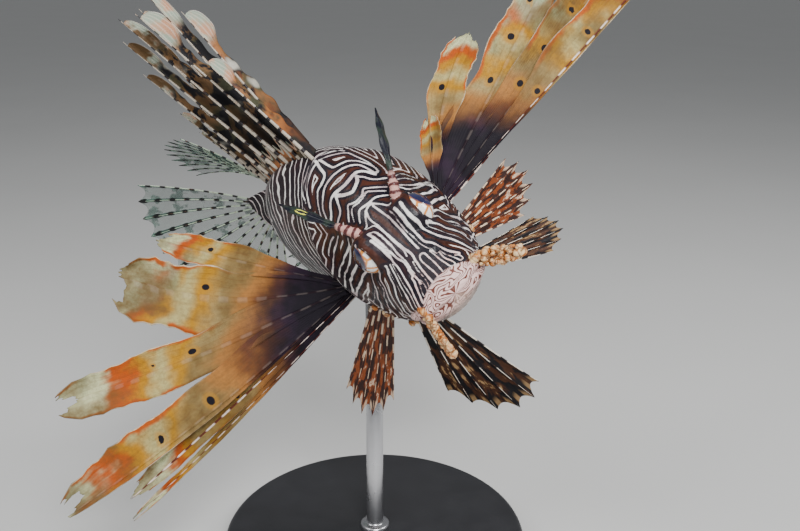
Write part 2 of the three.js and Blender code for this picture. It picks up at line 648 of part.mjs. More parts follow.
const fish = new THREE.Group();
function part(name, solid, material) {
  const mesh = new THREE.Mesh(geometryOf(solid), material);
  mesh.name = name;
  fish.add(mesh);
  return mesh;
}
part("head", head, skinMaterial);
part("lower_jaw", jaw, jawMaterial);
part("eye_left", eyes[0], eyeMaterial);
part("eye_right", eyes[1], eyeMaterial);
part("torso", solidOf(torsoForm()), skinMaterial);
part("tail", solidOf(tailForm()), skinMaterial);
part("dorsal_fin_spines", dorsalSpines(), finMaterial);
part("dorsal_fin_soft", softDorsal(), clearFinMaterial);
part("anal_fin", analFin(), clearFinMaterial);
part("caudal_fin", caudalFin(), clearFinMaterial);
for (const [name, side] of [["left", 1], ["right", -1]]) {
  part("pelvic_fin_" + name, pelvicFin(name, side), darkFinMaterial);
  part("pectoral_fin_" + name, pectoralFin(name, side), finMaterial);
  part("pectoral_lower_rays_" + name, lowerRays(name, side), finMaterial);
  part("eye_tentacle_" + name, clearOfHead(eyeTentacle(name, side)), flapMaterial);
  part("snout_barbel_" + name, clearOfHead(barbel(name)), flapMaterial);
}

// Stance: nose level along -Y, banked with the left side up
const stance = new THREE.Matrix4().makeBasis(
  V(0, -1, 0),
  V(Math.cos(BANK), 0, Math.sin(BANK)),
  V(-Math.sin(BANK), 0, Math.cos(BANK)),
);
const ROD_ROOT = onBody(88, -6, bellyAt(88) + 8);
const shift = ROD_ROOT.clone().applyMatrix4(stance).negate();
shift.z = SNOUT_HEIGHT;
fish.quaternion.setFromRotationMatrix(stance);
fish.position.copy(shift);
fish.updateMatrixWorld(true);

// Stand: a weighted disc and one rod up into the belly
function standBase() {
  const r = BASE_RADIUS;
  const profile = [[0, 0], [r, 0], [r, BASE_THICKNESS - 2], [r - 2, BASE_THICKNESS], [0, BASE_THICKNESS]];
  const points = profile.map(([x, y]) => new THREE.Vector2(x, y));
  return solidOf(new THREE.LatheGeometry(points, 40).rotateX(Math.PI / 2));
}
function standRod() {
  const top = ROD_ROOT.clone().applyMatrix4(fish.matrixWorld).z;
  const height = top - BASE_THICKNESS - GAP;
  const rod = new THREE.CylinderGeometry(ROD_RADIUS, ROD_RADIUS, height, 16);
  rod.rotateX(Math.PI / 2).translate(0, 0, BASE_THICKNESS + GAP + height / 2);
  const placedBody = body.transform(fish.matrixWorld.elements);
  return largest(solidOf(rod).subtract(placedBody));
}
const root = new THREE.Group();
root.add(fish);
for (const [name, solid, material] of [
  ["stand_base", standBase(), standMaterial],
  ["stand_rod", standRod(), rodMaterial],
]) {
  const mesh = new THREE.Mesh(geometryOf(solid), material);
  mesh.name = name;
  root.add(mesh);
}

export default root;
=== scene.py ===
# A red lionfish, life size, as a museum model on a plain stand. The fish is worked out in its own frame, in
# millimetres: x forward from the snout tip, y to its left, z up its back. A place on its body is (q, girth):
# q is the distance behind the snout along the bent axis, and girth is the angle round the body, with 0 on the
# left side and 90 on the back.
import math
from collections import namedtuple
from functools import partialmethod
import bpy
import numpy as np
from mathutils import Matrix, Vector
from mathutils.kdtree import KDTree


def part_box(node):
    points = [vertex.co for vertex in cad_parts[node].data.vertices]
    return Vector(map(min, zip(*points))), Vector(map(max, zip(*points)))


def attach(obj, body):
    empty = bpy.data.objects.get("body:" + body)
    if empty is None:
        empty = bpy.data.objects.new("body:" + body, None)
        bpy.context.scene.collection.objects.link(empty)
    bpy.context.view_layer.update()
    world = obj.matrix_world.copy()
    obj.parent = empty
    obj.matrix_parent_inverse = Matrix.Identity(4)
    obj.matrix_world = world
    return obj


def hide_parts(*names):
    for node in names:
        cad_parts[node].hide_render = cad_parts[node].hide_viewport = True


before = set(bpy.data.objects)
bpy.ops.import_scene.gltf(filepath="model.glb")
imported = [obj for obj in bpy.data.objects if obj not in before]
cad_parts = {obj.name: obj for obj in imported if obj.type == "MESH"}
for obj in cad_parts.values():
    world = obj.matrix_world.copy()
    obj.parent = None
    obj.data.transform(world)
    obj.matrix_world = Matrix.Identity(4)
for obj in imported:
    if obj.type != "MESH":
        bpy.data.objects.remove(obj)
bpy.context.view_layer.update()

# How the fish is held: nose level, banked about its nose-to-tail line with the left side up. Its place in the
# frame is taken from the two CAD eyes.
MM = 0.001
BANK = math.radians(42.5)
STANCE = np.array([
    [0.0, -1.0, 0.0],
    [math.cos(BANK), 0.0, math.sin(BANK)],
    [-math.sin(BANK), 0.0, math.cos(BANK)],
])
EYE = dict(q=24.5, side=9.2, level=18.0, radius=6.6)
EYES_MIDDLE = np.mean([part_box("eye_left"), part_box("eye_right")], axis=(0, 1))
SHIFT = EYES_MIDDLE - np.array([-EYE["q"], 0.0, EYE["level"]]) @ STANCE * MM


def placed(points):
    return np.asarray(points, float) @ STANCE * MM + SHIFT


# Camera: above the snout and a little to the fish's right, looking back along the body, with the photograph's
# perspective. Its axes are given in the fish's frame.
VIEW_ELEVATION = math.radians(25)
VIEW_ROLL = math.radians(45)
VIEW_DISTANCE = 300.0
PIXELS_PER_MM = 3.1
PHOTO_WIDTH, PHOTO_HEIGHT = 800, 531
EYES_IN_PHOTO = (391.5, 231.0)
EYES_AIM = (-EYE["q"], 0.0, 19.0)
SENSOR_MM = 36.0

sine, cosine = math.sin(VIEW_ELEVATION), math.cos(VIEW_ELEVATION)
roll_c, roll_s = math.cos(VIEW_ROLL), math.sin(VIEW_ROLL)
view_right = np.array([sine * roll_c, roll_s, -cosine * roll_c])
view_up = np.array([-sine * roll_s, roll_c, cosine * roll_s])
view_back = np.array([cosine, 0.0, sine])
across = (EYES_IN_PHOTO[0] - PHOTO_WIDTH / 2) / PIXELS_PER_MM
down = (EYES_IN_PHOTO[1] - PHOTO_HEIGHT / 2) / PIXELS_PER_MM
camera_place = np.array(EYES_AIM) + VIEW_DISTANCE * view_back - across * view_right + down * view_up
camera = bpy.data.objects.new("camera", bpy.data.cameras.new("camera"))
camera.data.sensor_width = SENSOR_MM
camera.data.lens = PIXELS_PER_MM * VIEW_DISTANCE / PHOTO_WIDTH * SENSOR_MM
camera.data.clip_start = 0.01
turn = np.stack([axis @ STANCE for axis in (view_right, view_up, view_back)], axis=1)
camera.matrix_world = Matrix.Translation(placed(camera_place)) @ Matrix(turn.tolist()).to_4x4()
bpy.context.collection.objects.link(camera)
bpy.context.scene.camera = camera

# Skin: one skin covers the head, jaw, trunk and tail stalk. It is firm and scaled, drawn tight over the
# skull, with bony brows round the eyes, thick lips along a slanting gape, and a free edge at the gill cover.
STANDARD_LENGTH = 175.0
BACK, BELLY, HALF_WIDTH, WIDEST = 1, 2, 3, 4
# Each station is a share of the standard length behind the snout, with the height of the back over the axis,
# the depth of the belly under it, half the width, and the level where the body is widest, as such shares.
STATIONS = np.array([
    [0, 0.008, 0.012, 0.026, 0.0],
    [0.008, 0.024, 0.028, 0.052, 0.0],
    [0.025, 0.042, 0.042, 0.069, -0.005],
    [0.06, 0.075, 0.065, 0.08, -0.01],
    [0.11, 0.121, 0.095, 0.09, -0.01],
    [0.16, 0.156, 0.125, 0.101, -0.005],
    [0.23, 0.196, 0.155, 0.122, 0.0],
    [0.34, 0.241, 0.175, 0.138, 0.01],
    [0.4, 0.241, 0.175, 0.135, 0.02],
    [0.52, 0.21, 0.165, 0.106, 0.02],
    [0.66, 0.16, 0.13, 0.072, 0.012],
    [0.78, 0.118, 0.082, 0.044, 0.015],
    [0.88, 0.085, 0.045, 0.026, 0.02],
    [1.0, 0.084, 0.035, 0.014, 0.025],
])
BENDS = [(48, 76, math.radians(28)), (86, 120, math.radians(-28)), (140, 175, math.radians(52))]
ARCH_FROM, ARCH_TO, ARCH_RISE = 52, 96, 6.0
AXIS_STEP = 0.5


def smooth(x, low, high):
    """0 at low and 1 at high, smoothly."""
    t = np.clip((np.asarray(x, float) - low) / (high - low), 0, 1)
    return t * t * (3 - 2 * t)


def ridge(distance, width):
    """A bell-shaped rise: 1 at no distance, and nearly nothing at twice the width."""
    return np.exp(-(distance / width) ** 2)


def unit(v):
    v = np.asarray(v, float)
    return v / np.maximum(np.linalg.norm(v, axis=-1, keepdims=True), 1e-9)


def station(q, column):
    """One of the body's measures at q, from a smooth curve through the stations."""
    s = np.asarray(q, float) / STANDARD_LENGTH
    x, y = STATIONS[:, 0], STATIONS[:, column]
    last = len(x) - 1
    below, above = np.maximum(np.arange(last + 1) - 1, 0), np.minimum(np.arange(last + 1) + 1, last)
    slope = (y[above] - y[below]) / (x[above] - x[below])
    i = np.clip(np.searchsorted(x, s, side="left") - 1, 0, last - 1)
    width = x[i + 1] - x[i]
    t = (s - x[i]) / width
    value = y[i] * (1 + 2 * t) * (1 - t) ** 2 + slope[i] * width * t * (1 - t) ** 2
    value += y[i + 1] * t * t * (3 - 2 * t) + slope[i + 1] * width * t * t * (t - 1)
    return value * STANDARD_LENGTH


def heading(q):
    return sum(bend * smooth(q, start, end) for start, end, bend in BENDS)


axis_turns = heading(np.arange(0, STANDARD_LENGTH * 1.5, AXIS_STEP) + AXIS_STEP / 2)
axis_steps = np.stack([-np.cos(axis_turns), -np.sin(axis_turns), 0 * axis_turns], axis=1) * AXIS_STEP
AXIS = np.concatenate([[[0, 0, 0]], np.cumsum(axis_steps, axis=0)])


def on_body(q, y, z):
    """The point y to the left of the bent axis at q, and z above it."""
    q, y, z = np.broadcast_arrays(*(np.asarray(v, float) for v in (q, y, z)))
    ahead = np.clip(q, 0, None)
    i = np.floor(ahead / AXIS_STEP).astype(int)
    part = (ahead / AXIS_STEP - i)[..., None]
    centre = AXIS[i] * (1 - part) + AXIS[i + 1] * part
    angle = heading(ahead)
    x = centre[..., 0] - np.sin(angle) * y + np.maximum(-q, 0)
    raised = z + ARCH_RISE * smooth(q, ARCH_FROM, ARCH_TO)
    return np.stack([x, centre[..., 1] + np.cos(angle) * y, raised], axis=-1)


def beside(q, y, z):
    """A point straight beside the axis at q, for the paired fins, which don't turn with the body's swing."""
    return on_body(q, 0, z) + [0, float(y), 0]


def along(q, back, left, up):
    """A direction from the body at q."""
    angle = float(heading(q))
    x = -math.cos(angle) * back - math.sin(angle) * left
    return unit([x, -math.sin(angle) * back + math.cos(angle) * left, up])


def skin_point(q, girth, grow=0.0):
    widest, rise, side = station(q, WIDEST), np.sin(girth), np.cos(girth)
    height = np.where(rise >= 0, station(q, BACK) - widest, station(q, BELLY) + widest)
    power = np.where(rise >= 0, 1.15, 0.9)
    y = np.sign(side) * np.abs(side) ** power * (station(q, HALF_WIDTH) + grow)
    return on_body(q, y, widest + rise * (height + grow))


# Bony brows stand out over the eyes, and the skin dips under each eyeball inside its round orbit.
BROW = dict(radius=7.5, stretch=1.2, lift=(-0.4, 0, 0.3), inward=1.2, melt=0.55,
            core=(6.7, 8.5), core_depth=10.8)
ORBIT = dict(facing=(0.3, 0.9, 0.12), edge=(50, 62), floor=5.6)
GAPE_TIP, GAPE_CORNER, GAPE_LENGTH = -1.2, -8.0, 18
GILL_EDGE, GILL_FLAP, OPERCLE_STEP = 58.0, 6.0, 0.9
LIP_CORD, LIP_WIDTH, SLIT_WIDTH, LIP_FOLD = 1.9, 1.1, 0.42, 4.2
HOLLOW_DEPTH, HOLLOW_WIDTH = 1.1, 3.2
RIDGE_HEIGHT, RIDGE_WIDTH, WAVE_HEIGHT = 0.6, 1.3, 0.25
NOSTRIL = dict(q=9.0, side=5.0, drop=1.6, radius=0.9, pit=1.1, rim=0.5, rim_radius=1.5, rim_width=0.6)
HEAD_LENGTH, HEAD_ROWS, TRUNK_ROWS, SNOUT_ROWS, AROUND = 70, 182, 178, 8, 264


def raise_brow(points, side):
    """The skin's points pushed out to one brow and sunk into its orbit, with how deep each lies in it."""
    eye = on_body(EYE["q"], side * EYE["side"], EYE["level"])
    centre = eye + BROW["lift"] - [0, side * BROW["inward"], 0]
    deep = centre - unit([0, side * BROW["core"][0], BROW["core"][1]]) * BROW["core_depth"]
    squeeze = np.array([1 / BROW["stretch"], 1, 1])
    from_deep, to_ball = (points - deep) * squeeze, (centre - deep) * squeeze
    reach = np.linalg.norm(from_deep, axis=-1)
    way = from_deep / reach[..., None]
    middle = way @ to_ball
    inside = middle ** 2 - to_ball @ to_ball + BROW["radius"] ** 2
    far = np.where(inside > 0, middle + np.sqrt(np.maximum(inside, 0)), 0)
    melt = BROW["melt"]
    raised = np.maximum(reach, far) + melt * np.log1p(np.exp(-np.abs(reach - far) / melt)) * (far > 0)
    offset = deep + way * raised[..., None] / squeeze - eye
    distance = np.linalg.norm(offset, axis=-1)
    facing = unit(np.array(ORBIT["facing"]) * [1, side, 1])
    angle = np.degrees(np.arccos(np.clip(offset @ facing / np.maximum(distance, 1e-6), -1, 1)))
    opened = 1 - smooth(angle, *ORBIT["edge"])
    sunk = np.minimum(distance, ORBIT["floor"])
    return eye + unit(offset) * (distance + (sunk - distance) * opened)[..., None], opened


row_q = np.concatenate([
    np.linspace(0, 1, HEAD_ROWS) ** 1.15 * HEAD_LENGTH,
    np.linspace(HEAD_LENGTH, STANDARD_LENGTH, TRUNK_ROWS + 1)[1:],
])
q_grid, girth_grid = np.meshgrid(row_q, np.arange(AROUND) / AROUND * 2 * np.pi, indexing="ij")
smooth_skin = skin_point(q_grid, girth_grid)
normals = unit(skin_point(q_grid, girth_grid, 1.0) - smooth_skin)
level = smooth_skin[..., 2]

gill_edge = GILL_EDGE + GILL_FLAP * np.cos(girth_grid) ** 2
flank = np.clip(1.3 - np.sin(girth_grid), 0, 1)
gill_cover = smooth(q_grid, gill_edge - 11, gill_edge - 1)
gill_cover *= 1 - smooth(q_grid, gill_edge - 0.2, gill_edge + 0.7)
gape = GAPE_TIP + (GAPE_CORNER - GAPE_TIP) * np.clip((q_grid - 2) / GAPE_LENGTH, 0, 1)
from_gape = level - gape
mouth = 1 - smooth(q_grid, 16, 21)
lip_folds = 0.75 * ridge(np.abs(from_gape) - LIP_CORD, LIP_WIDTH) - 1.3 * ridge(from_gape, SLIT_WIDTH)
lip_folds -= 0.4 * ridge(from_gape - LIP_FOLD, 0.7)
between_eyes = ridge(smooth_skin[..., 1], HOLLOW_WIDTH) * smooth(q_grid, 12, 18)
between_eyes = between_eyes * (1 - smooth(q_grid, 30, 36)) * (level > 0)
cheek_ridge = -6 - 0.12 * (q_grid - 18) - 3 * np.sin((q_grid - 18) / 11)
ridge_reach = smooth(q_grid, 18, 23) * (1 - smooth(q_grid, 46, 52))
waves = np.sin(q_grid * 0.9 + 2 * np.cos(girth_grid)) * np.abs(np.cos(girth_grid))
push = flank * (OPERCLE_STEP * gill_cover - 0.5 * ridge(q_grid - gill_edge - 0.9, 0.9)) + mouth * lip_folds
push += RIDGE_HEIGHT * ridge(level - cheek_ridge, RIDGE_WIDTH) * ridge_reach - HOLLOW_DEPTH * between_eyes
push += WAVE_HEIGHT * waves * smooth(q_grid, 4, 12) * (1 - smooth(q_grid, 40, 56))
skin = smooth_skin + normals * push[..., None]
for side in (1, -1):
    roof = float(station(NOSTRIL["q"], BACK)) - NOSTRIL["drop"]
    near = np.linalg.norm(skin - on_body(NOSTRIL["q"], side * NOSTRIL["side"], 0) - [0, 0, roof], axis=-1)
    pit = NOSTRIL["pit"] * ridge(near, NOSTRIL["radius"])
    rim = NOSTRIL["rim"] * ridge(near - NOSTRIL["rim_radius"], NOSTRIL["rim_width"])
    skin -= normals * (pit - rim)[..., None]
socket = np.zeros_like(q_grid)
for side in (1, -1):
    this_side = skin[..., 1] * side > 0.5
    raised, opened = raise_brow(skin, side)
    skin = np.where(this_side[..., None], raised, skin)
    socket = np.where(this_side, opened, socket)

# The skin's pattern: white lines on red-brown and black. Each line of the face is half its width, in
# millimetres, and then the places that it runs through, each the distance behind the snout and the girth in
# degrees.
FACE_LINES = [
    (0.4, 34.4, 116, 35.5, 109, 36.4, 104, 35.3, 100, 34.5, 94, 34.7, 84, 36.4, 78, 36, 74, 35.2, 66,
     34.8, 59),
    (0.36, 32.2, 113, 34.2, 107, 34.5, 102, 33.8, 95, 34, 84, 34.8, 77, 34, 71, 33.2, 62),
    (0.45, 29.7, 110, 31, 106, 32.1, 100, 31.8, 91, 31.6, 82, 31.8, 76, 31.6, 70, 31.2, 63),
    (0.45, 26, 111, 28.4, 104, 30.2, 97, 30.9, 91, 30.9, 83, 29.3, 77, 27.7, 72, 25.6, 68),
    (0.75, 44, 105, 42.6, 97, 42.1, 90, 42.7, 82, 43.9, 76, 44.7, 71, 44.3, 66, 42.6, 62, 41.7, 60),
    (0.5, 41.7, 60, 43.7, 56, 46.3, 56, 48.7, 60, 50.4, 64, 51.4, 70, 51.2, 77, 51.4, 84, 53.1, 86, 55.7, 87,
     59.1, 87),
    (0.7, 42.9, 105, 39.5, 98, 37.9, 90, 38.8, 83, 40.7, 77, 42.8, 74),
    (0.5, 42.3, 74, 41.5, 70, 39.8, 66, 39.2, 61, 39.7, 54),
    (0.62, 44, 105, 44.6, 110, 44.3, 115, 43.4, 120, 43.4, 127),
    (0.55, 42.8, 106, 41, 109, 38.8, 114, 39.3, 121, 40.1, 128),
    (0.5, 44.7, 130, 46.3, 126, 48.4, 122, 49, 115, 49.4, 108, 49.2, 102, 48.8, 95, 48.6, 85, 48.8, 78,
     48.8, 71, 48, 65, 45.8, 62, 43.2, 60, 42.4, 59),
    (0.36, 46.8, 132, 49.3, 129, 50.7, 124, 51.8, 118, 52.4, 112, 51.5, 107),
    (0.6, 51.5, 107, 51.4, 101, 52.4, 97, 55.6, 95, 60.2, 91),
    (0.36, 46.2, 56, 49.9, 58, 53.3, 62, 55.9, 65, 56.7, 72, 57.5, 79, 58.7, 85),
    (0.34, 57.4, 65, 59.7, 70, 60, 78, 61.4, 86),
    (0.5, 59, 95, 59.3, 103, 59.3, 111, 58.8, 118, 57.6, 123, 56.6, 127),
    (0.42, 61.6, 99, 61.4, 107, 62.4, 115, 62.3, 122, 59.6, 126),
    (0.5, 30, 83, 27.1, 81, 23.7, 79, 20.5, 79, 17.7, 79, 14.3, 80, 11.7, 80),
    (0.34, 24.3, 74, 21.6, 74, 19.6, 75, 17.6, 75, 14.9, 74, 12.7, 74, 10.9, 71),
    (0.55, 22.7, 70, 20.1, 70, 18.1, 70, 16.3, 68, 13.8, 68, 12.5, 67, 11.4, 60, 9.4, 56, 7.5, 49, 6.4, 38),
    (0.3, 10.9, 71, 9.5, 67, 8.1, 61, 6.5, 55, 5, 47),
    (0.5, 30.5, 96, 27.5, 100, 24, 99, 20.7, 99, 17.6, 98, 14.4, 97, 11.7, 95, 9.8, 98, 7.6, 101, 5.4, 103,
     3.4, 105),
    (0.42, 25.1, 110, 25.1, 103, 22.7, 100, 19.8, 100, 16.7, 100, 14.1, 99, 12.4, 102),
    (0.45, 22.3, 109, 22, 106, 19.8, 105, 17.3, 106, 14.7, 108, 12.3, 108, 10, 111, 7.4, 115, 5.7, 118),
    (0.5, 22.5, 111, 20.6, 110, 18.9, 110, 17, 112, 14.5, 113, 12.6, 111, 10.3, 113, 8.3, 119, 6.7, 126,
     4.8, 135, 3.4, 145),
    (0.55, 22.5, 64, 20.1, 65, 18.5, 64, 17.5, 61, 16.1, 57, 14.3, 52, 13.1, 46, 12.3, 35, 11.6, 24, 11.3, 11,
     13.4, -4),
    (0.34, 17.5, 52, 16.2, 44, 14.6, 36, 14.6, 25, 15.2, 12, 20.2, -11),
    (0.5, 17.6, 53, 18.8, 41, 18.7, 34, 18.1, 30, 18.8, 21, 20, 10, 20.5, 0, 27.3, -23),
    (0.34, 21.9, 21, 26.2, 7, 28.1, -3, 33.2, -18, 34.1, -25),
    (0.5, 18.9, 54, 20.9, 39, 24.3, 29, 22.9, 25, 25.4, 15, 28.8, 3, 34, -11, 36.2, -22),
    (0.55, 20.3, 50, 22.7, 39, 27.6, 26, 28.2, 18, 31.7, 8, 35, -1, 41.1, -16),
    (0.62, 25.4, 52, 22.8, 51, 23.7, 43, 34.2, 22, 41.5, 11),
    (0.6, 26.1, 49, 33.3, 34, 37.4, 25, 46.1, 13),
    (0.42, 34.8, 49, 34.4, 43, 36.4, 36, 41.4, 26, 49, 13),
    (0.42, 35.9, 48, 37.6, 39, 41.1, 29, 48.7, 17),
    (0.34, 41.2, 46, 44.6, 38, 44.9, 33, 45.6, 27),
    (0.34, 39.6, 46, 41.1, 39, 41.6, 33),
    (0.42, 3.3, 77, 5.9, 77, 8.3, 78, 9.8, 79, 10, 85, 8.9, 91, 6.8, 91, 4.7, 89, 3, 90),
    (0.4, 9.4, 70, 8.6, 64, 6.1, 61, 4.6, 55, 3.5, 53, 3.5, 61, 5.3, 66, 7.1, 69, 9.2, 71),
    (0.36, 6, 46, 5.7, 39, 4.6, 36, 4.1, 42, 5, 47),
    (0.3, 10.2, 102, 8.1, 106, 6, 108, 4.1, 112, 2.8, 120, 1.9, 133),
    (0.34, 6.4, 118, 5.2, 124, 4, 131, 3.1, 133, 3, 125, 4.5, 117, 6.1, 114),
    (0.5, 20.6, 113, 18.8, 113, 17.1, 115, 15.6, 119, 13.1, 122, 10.8, 126, 8.5, 132, 6.7, 140, 5, 150,
     4.3, 163),
    (0.34, 15.4, 122, 13.6, 128, 11.4, 133, 9.3, 138, 7.4, 146, 5.7, 158),
    (0.45, 16, 125, 14.6, 130, 12.6, 137, 10.4, 143, 8.9, 152, 8, 165, 6.1, 175),
    (0.3, 16.6, 130, 15, 137, 13.3, 144, 11.8, 151),
    (0.5, 17.1, 128, 16.3, 137, 15, 146, 15.5, 159, 15.8, 170, 17.1, 186, 11.5, 184),
    (0.5, 19.5, 136, 21.9, 149, 21.3, 157, 23.2, 170, 24.8, 181, 30.1, 201, 24.5, 202),
    (0.36, 23.3, 153, 23.2, 163, 29.3, 179, 32.4, 193, 33.8, 204),
    (0.45, 19.8, 129, 25.5, 149, 28.1, 161, 29.9, 170, 34.2, 181, 38.8, 192),
    (0.3, 28.1, 161, 31, 170, 38.7, 182),
    (0.55, 22.4, 130, 23.4, 139, 33.9, 160, 41.6, 171, 59.7, 188),
    (0.6, 23.9, 124, 24.5, 132, 34.1, 151, 40.5, 162, 52.4, 177, 62, 188),
    (0.45, 34, 135, 35.3, 144, 38.9, 154, 49.7, 168, 62.1, 181),
    (0.45, 34.7, 130, 34.7, 136, 38.2, 146, 45.5, 158, 57, 171),
    (0.4, 39.6, 133, 42.8, 142, 47.5, 152, 55.1, 163, 62.4, 171),
    (0.34, 42.8, 136, 47.2, 145, 53, 155),
]
HIDDEN_CHEEKS = [
    (0.5, 19, -12, 26, -26, 40, -36, 62, -42),
    (0.36, 17, -20, 25, -36, 40, -46, 62, -52),
    (0.5, 15, -30, 23, -48, 38, -57, 62, -62),
    (0.5, 22, -6, 30, -14, 42, -24, 62, -30),
    (0.36, 33, 2, 44, -4, 62, -12),
    (0.5, 36, 10, 48, 5, 62, -2),
    (0.36, 42, 18, 52, 14, 62, 8),
    (0.5, 46, 27, 54, 24, 62, 20),
    (0.5, 50, 40, 56, 37, 62, 34),
    (0.5, 28, 206, 40, 212, 62, 214),
    (0.36, 19, 202, 28, 216, 42, 224, 62, 226),
    (0.5, 16, 210, 25, 228, 40, 237, 62, 242),
    (0.5, 14, 222, 22, 240, 38, 248, 62, 253),
]
LINE_STEP, DEGREE_MM = 0.25, 0.25
NAPE, NAPE_HALF_WIDTH = 46, 0.44


def through(places):
    """Even places on a smooth curve through the given ones."""
    places = np.array(places, float).reshape(-1, 2)
    padded = np.vstack([2 * places[0] - places[1], places, 2 * places[-1] - places[-2]])
    found = []
    for a, b, c, d in zip(padded[:-3], padded[1:-2], padded[2:-1], padded[3:]):
        count = max(3, int(np.hypot(c[0] - b[0], (c[1] - b[1]) * DEGREE_MM) / LINE_STEP))
        t = np.linspace(0, 1, count, endpoint=False)[:, None]
        found.append(b + 0.5 * t * ((c - a) + t * ((2 * a - 5 * b + 4 * c - d) + t * (3 * (b - c) + d - a))))
    return np.vstack([*found, places[-1:]])


lines = [(half, through(places)) for half, *places in FACE_LINES + HIDDEN_CHEEKS]
tree = KDTree(sum(len(line) for half, line in lines))
line_half = []
for half, line in lines:
    width = max(half, NAPE_HALF_WIDTH) if line[:, 0].mean() > NAPE else half
    for point in skin_point(line[:, 0], np.radians(line[:, 1])):
        tree.insert(point, len(line_half))
        line_half.append(width)
tree.balance()
nearest = [tree.find(place) for place in smooth_skin.reshape(-1, 3)]
edge = np.array([distance - line_half[number] for place, number, distance in nearest]).reshape(q_grid.shape)
lips = np.exp(-(from_gape / 4.6) ** 4) * (1 - smooth(q_grid, 13, 19))
lips = np.maximum(lips, 1 - smooth(q_grid, 2.2, 4.5))


# Shader values as Python expressions. A Tone wraps one socket, and arithmetic on it adds Math nodes.
class Tone:
    def __init__(self, finish, socket):
        self.finish, self.socket = finish, socket

    def math(self, operation, *others):
        return self.finish.node("ShaderNodeMath", {"operation": operation}, self, *others)

    def __rsub__(self, other):
        return self.finish.node("ShaderNodeMath", {"operation": "SUBTRACT"}, other, self)

    def ramp(self, low, high):
        """0 at low and 1 at high, smoothly."""
        return self.finish.node("ShaderNodeMapRange", {"interpolation_type": "SMOOTHSTEP"}, self, low, high)

    def fall(self, low, high):
        return 1 - self.ramp(low, high)

    __add__ = __radd__ = partialmethod(math, "ADD")
    __mul__ = __rmul__ = partialmethod(math, "MULTIPLY")
    __sub__ = partialmethod(math, "SUBTRACT")
    __truediv__ = partialmethod(math, "DIVIDE")
    sin = partialmethod(math, "SINE")
    abs = partialmethod(math, "ABSOLUTE")
    fract = partialmethod(math, "FRACT")
    floor = partialmethod(math, "FLOOR")
    most = partialmethod(math, "MAXIMUM")


# A Finish is one material. Its colour is painted in layers, each over the ones before.
class Finish:
    def __init__(self, name):
        self.material = bpy.data.materials.new(name)
        self.material.use_nodes = True
        self.tree = self.material.node_tree

    def feed(self, node, key, value):
        socket = node.inputs[key.replace("_", " ") if isinstance(key, str) else key]
        if isinstance(value, Tone):
            self.tree.links.new(value.socket, socket)
        elif value is not None:
            socket.default_value = value

    def node(self, kind, settings, *values, output=0, **named):
        node = self.tree.nodes.new(kind)
        for key, value in settings.items():
            setattr(node, key, value)
        for key, value in [*enumerate(values), *named.items()]:
            self.feed(node, key, value)
        return Tone(self, node.outputs[output])

    def own(self, name):
        """The piece's own attribute of that name."""
        return self.node("ShaderNodeAttribute", {"attribute_name": name}, output="Fac")

    def place(self):
        return self.node("ShaderNodeTexCoord", {}, output="Object")

    def noise(self, scale, detail=3.0, rough=0.55, at=None, warp=0.0):
        return self.node("ShaderNodeTexNoise", {}, Vector=at or self.place(), Scale=scale, Detail=detail,
                         Roughness=rough, Distortion=warp)

    def patches(self, scale, low, high, detail=3.0):
        return self.noise(scale, detail).ramp(low, high)

    def sway(self, scale, detail=3.0):
        """Noise about nothing, to shift or vary another value."""
        return self.noise(scale, detail) - 0.5

    def cells(self, scale, feature="F1"):
        return self.node("ShaderNodeTexVoronoi", {"feature": feature}, Vector=self.place(), Scale=scale,
                         output="Distance")

    def flat(self, x, y, z):
        """A vector of three values, for a pattern laid out on a surface's own measures."""
        return self.node("ShaderNodeCombineXYZ", {}, x, y, z)

    def blend(self, share, first, second):
        """The second colour over the first."""
        first, second = (c if isinstance(c, Tone) else (*c, 1.0) for c in (first, second))
        return self.node("ShaderNodeMix", {"data_type": "RGBA"}, share, *[None] * 5, first, second, output=2)

    def paint(self, share, colour):
        self.colour = self.blend(share, self.colour, colour)

    def surface(self, roughness, relief, strength, depth, gloss=0.5, **others):
        bump = self.node("ShaderNodeBump", {}, Strength=strength, Distance=depth, Height=relief)
        others.update(Base_Color=self.colour, Roughness=roughness, Normal=bump, Specular_IOR_Level=gloss)
        for key, value in others.items():
            self.feed(self.tree.nodes["Principled BSDF"], key, value)


BAR_PITCH = 3.8
TRUNK_STARTS = (61, 63.5)
LINE_WHITE, LINE_GREY, LINE_PINK = (0.80, 0.77, 0.74), (0.56, 0.46, 0.46), (0.84, 0.56, 0.50)
BROWN, RED_BROWN = (0.022, 0.006, 0.004), (0.062, 0.016, 0.008)
BLACK, WORN_BLACK = (0.005, 0.004, 0.009), (0.016, 0.007, 0.013)
LIP_RED, LIP_CREAM = (0.12, 0.030, 0.018), (0.72, 0.50, 0.47)
# The second colour is painted shade, for the hollow of each orbit round the eyeball.
BELLY_PALE, ORBIT_SHADE = (0.62, 0.44, 0.36), (0.02, 0.015, 0.03)


